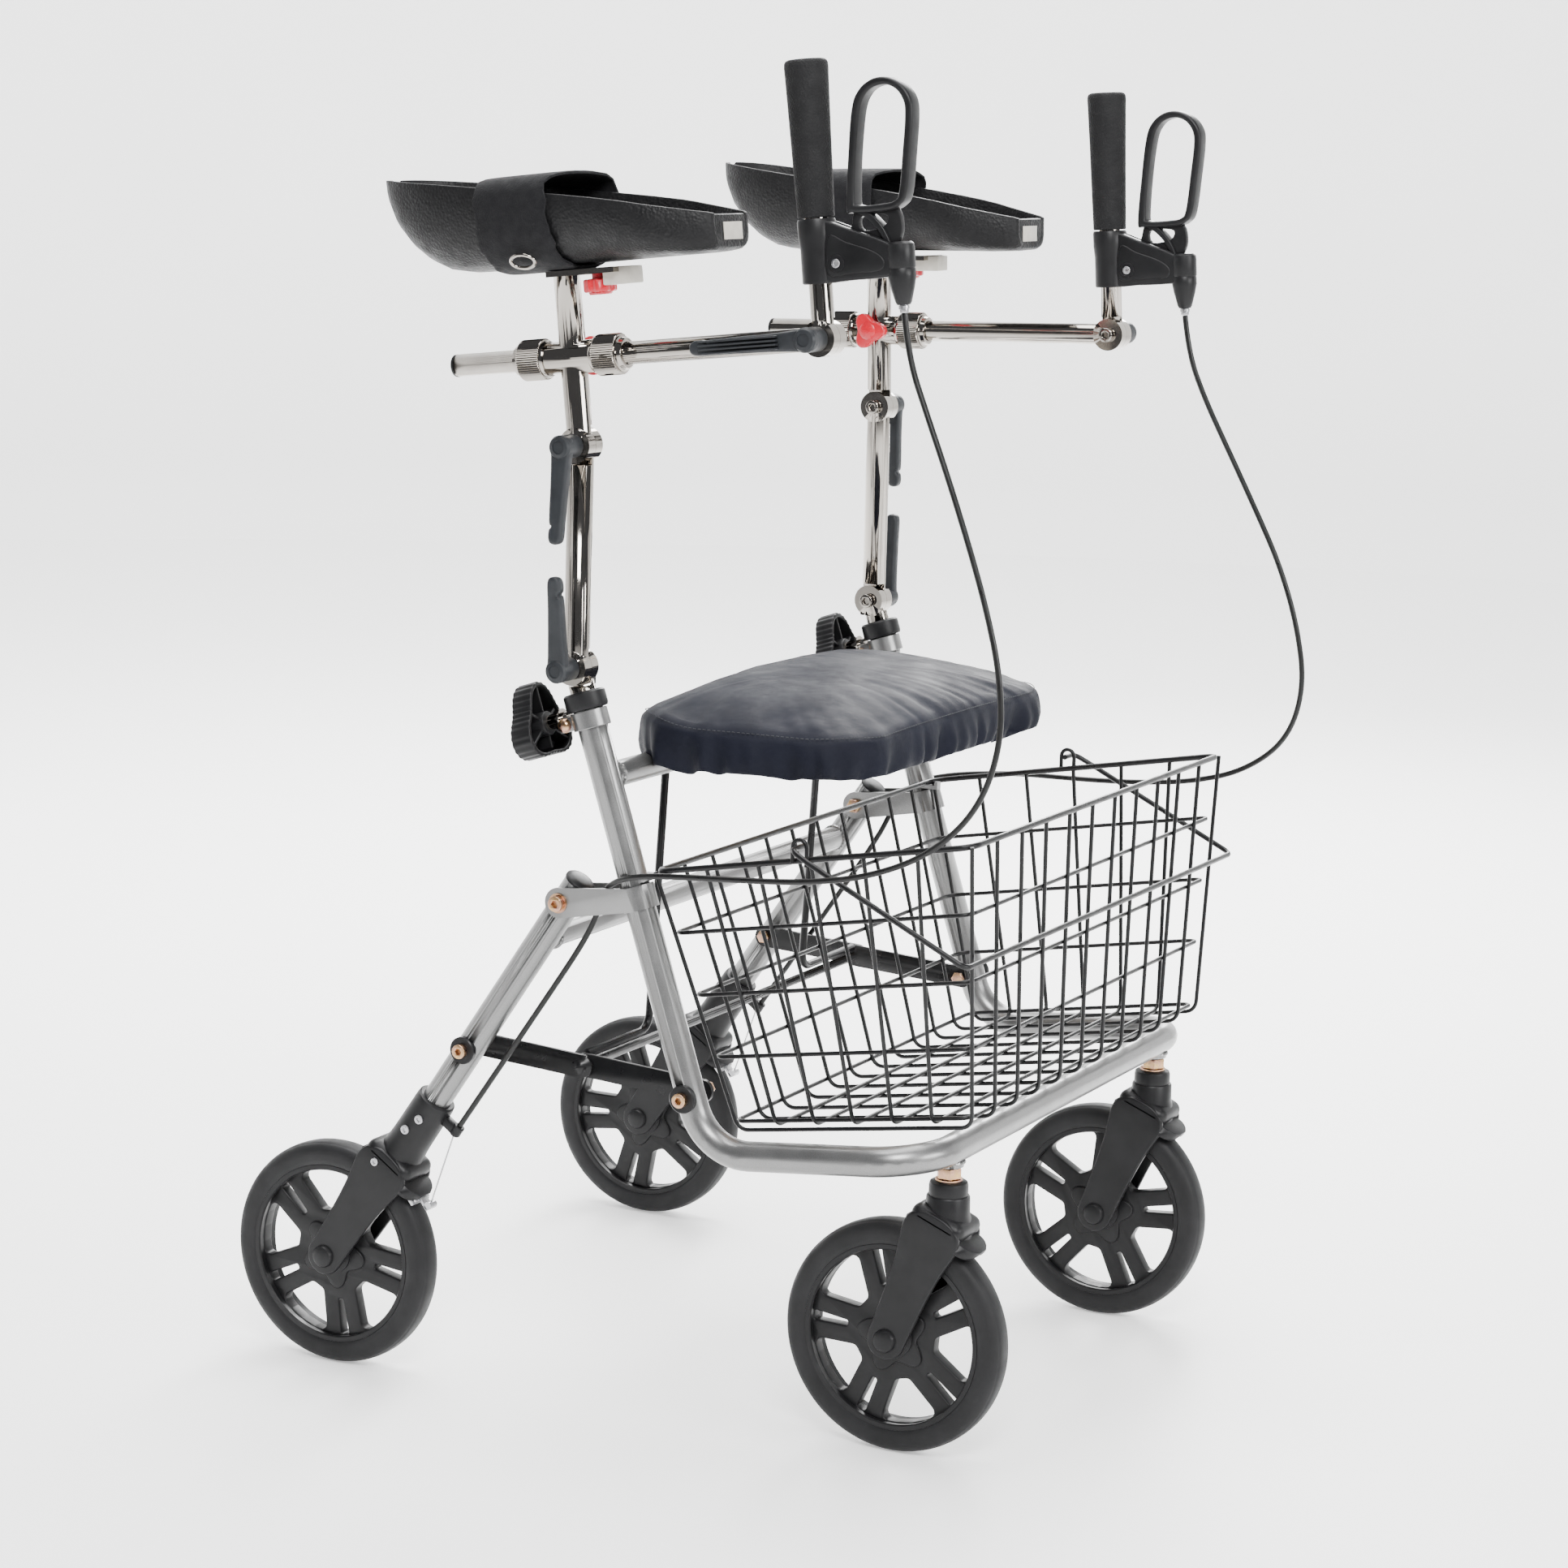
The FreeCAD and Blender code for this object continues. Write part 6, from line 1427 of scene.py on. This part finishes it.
def trough_section(y, half, bottom, top):
    """A U-shaped loop across the trough at one station, its outer side first."""
    outside, inside = [], []
    square = 1 - 0.5 * min(1.0, max(0.0, (-60 - y) / 70))
    for index in range(TROUGH_STEPS + 1):
        turn = math.pi * index / TROUGH_STEPS
        across = -math.copysign(abs(math.cos(turn)) ** (0.8 * square), math.cos(turn))
        down = max(0.0, math.sin(turn)) ** (0.75 * square)
        outside.append((half * across, y, top - (top - bottom) * down))
        inside.append(((half - TROUGH_WALL) * across, y, top - (top - bottom - TROUGH_WALL) * down))
    return outside + list(reversed(inside))


class FRAME_OT_armrests(bpy.types.Operator):
    """Forearm troughs with their straps, rings and blank labels"""
    bl_idname = "walking_frame.armrests"
    bl_label = "Armrests"

    def execute(self, context):
        # y, half width, floor and edge from front to rear are those of trough_section
        stations = [(157, 9, 76, 82.5), (154.5, 18, 65, 82.4), (150, 27, 51, 82), (142, 35, 36, 81),
                    (130, 42, 22, 79.4), (116, 47, 11, 77.4), (100, 51, 3.5, 75.2), (84, 53.5, 0.6, 73),
                    (60, 55, 0, 69.6), (30, 55, 0, 65), (0, 55, 0, 60.5), (-30, 55, 0, 56),
                    (-60, 55, 0, 51), (-84, 54.6, 0, 46.6), (-98, 53.6, 0, 43.6), (-112, 49.4, 0, 40.4),
                    (-128, 43.4, 0, 37), (-144, 37, 0.4, 33.6), (-152, 33.4, 1.2, 32),
                    (-156, 29.6, 3.4, 30.6)]
        for side, word in SIDES:
            place = arm_place(word)
            rings = [[(x, y, z + TROUGH_FLOOR) for x, y, z in trough_section(*station)]
                     for station in stations]
            front = [[(x, y, z + TROUGH_FLOOR) for x, y, z in trough_section(*station)[:TROUGH_STEPS + 1]]
                     for station in ((-151, 34, 1, 30.4), (-155.8, 30, 3, 29.6))]
            shells = [bevelled(skin("trough", rings), 1.2, 2, 50),
                      bevelled(skin("front", front), 1.0, 2, 50)]
            trough = joined("armrest_gutter_%s_look" % word, shells)
            trough.data.transform(place)
            dressed(trough, "armrest_" + word, "black_plastic", "armrest_gutter_" + word, look="trough",
                    angle=50)
            self.strap(side, word, place)
            label = brick("label_" + word, (-15 - side * 3, -156.7, 156), (15 - side * 3, -155.3, 170),
                          round_edge=0.3)
            label.data.transform(place)
            dressed(label, "armrest_" + word, "black_plastic", look="label")
        return {"FINISHED"}

    def strap(self, side, word, place):
        """A wide band under the trough that closes above it in a loose arch."""
        path = []
        for index in range(33):
            turn = math.pi * index / 32
            path.append((-55.9 * math.copysign(abs(math.cos(turn)) ** 0.8, math.cos(turn)),
                         52 - 52.9 * math.sin(turn) ** 0.75))
        arch = [(56.2, 57), (55.6, 62), (52.6, 67), (45, 70.6), (28, 72.4), (12, 72.8), (-4, 72.8),
                (-20, 72.4), (-36, 71.2), (-46, 69.4), (-53, 65.6), (-55.8, 60)]
        path += arch
        count = len(path)
        rings = []
        for index, (x, z) in enumerate(path):
            before, after = path[index - 1], path[(index + 1) % count]
            out = Vector((after[1] - before[1], 0, before[0] - after[0])).normalized() * -1
            if out.dot(Vector((x, 0, z - 45))) < 0:
                out = -out
            wave = 1.2 * math.sin(index * 0.9) + 0.8 * math.sin(index * 2.1 + side)
            rings.append([Vector((x, y + wave * edge, z + TROUGH_FLOOR)) + out * lift
                          for y, lift, edge in ((-20, 0.4, 1), (-20, 2.4, 1), (-18, 3.2, 1), (-5, 3.3, 0.3),
                                                (14, 3.3, 0), (33, 3.3, -0.3), (46, 3.2, -1), (48, 2.4, -1),
                                                (48, 0.4, -1), (14, 0.2, 0))])
        rings.append(rings[0])
        band = skin("armrest_strap_%s_look" % word, rings, capped=False)
        band.data.transform(place)
        dressed(band, "armrest_" + word, "cover_fabric", "armrest_strap_" + word, look="neoprene", angle=60)
        hoop = [(0, 11 * math.cos(turn), 7 * math.sin(turn)) for turn in
                (2 * math.pi * index / 28 for index in range(28))]
        buckle = wire("strap_ring_" + word, hoop, 1.5 * MM, cyclic=True,
                      place=place @ shift(side * 50, 10, 152) @ Matrix.Rotation(side * 0.7, 4, "Y"))
        dressed(buckle, "armrest_" + word, "chrome", angle=60)


# ---------------------------------------------------------------- add-on

OPERATORS = (FRAME_OT_stage, FRAME_OT_cables, FRAME_OT_tubes, FRAME_OT_fasteners, FRAME_OT_braces,
             FRAME_OT_wheels, FRAME_OT_forks, FRAME_OT_basket, FRAME_OT_seat, FRAME_OT_posts,
             FRAME_OT_levers, FRAME_OT_handles, FRAME_OT_armrests)


class FRAME_PT_panel(bpy.types.Panel):
    """Sizes, colours and the pieces in the order they are made"""
    bl_label = "Walking Frame"
    bl_idname = "FRAME_PT_panel"
    bl_space_type = "VIEW_3D"
    bl_region_type = "UI"
    bl_category = "Walking Frame"

    def draw(self, context):
        for settings in (context.scene.walking_frame_sizes, context.scene.walking_frame_colours):
            column = self.layout.column(align=True)
            for name in settings.__annotations__:
                column.prop(settings, name)
        for operator in OPERATORS:
            self.layout.operator(operator.bl_idname)


CLASSES = (WalkingFrameSizes, WalkingFrameColours, *OPERATORS, FRAME_PT_panel)


def register():
    for kind in CLASSES:
        bpy.utils.register_class(kind)
    bpy.types.Scene.walking_frame_sizes = bpy.props.PointerProperty(type=WalkingFrameSizes)
    bpy.types.Scene.walking_frame_colours = bpy.props.PointerProperty(type=WalkingFrameColours)


def unregister():
    del bpy.types.Scene.walking_frame_colours
    del bpy.types.Scene.walking_frame_sizes
    for kind in reversed(CLASSES):
        bpy.utils.unregister_class(kind)


def main():
    register()
    FINISHES.update(make_finishes())
    for operator in OPERATORS:
        group, name = operator.bl_idname.split(".")
        getattr(getattr(bpy.ops, group), name)()
    nothing_selected()


if __name__ == "__main__":
    main()
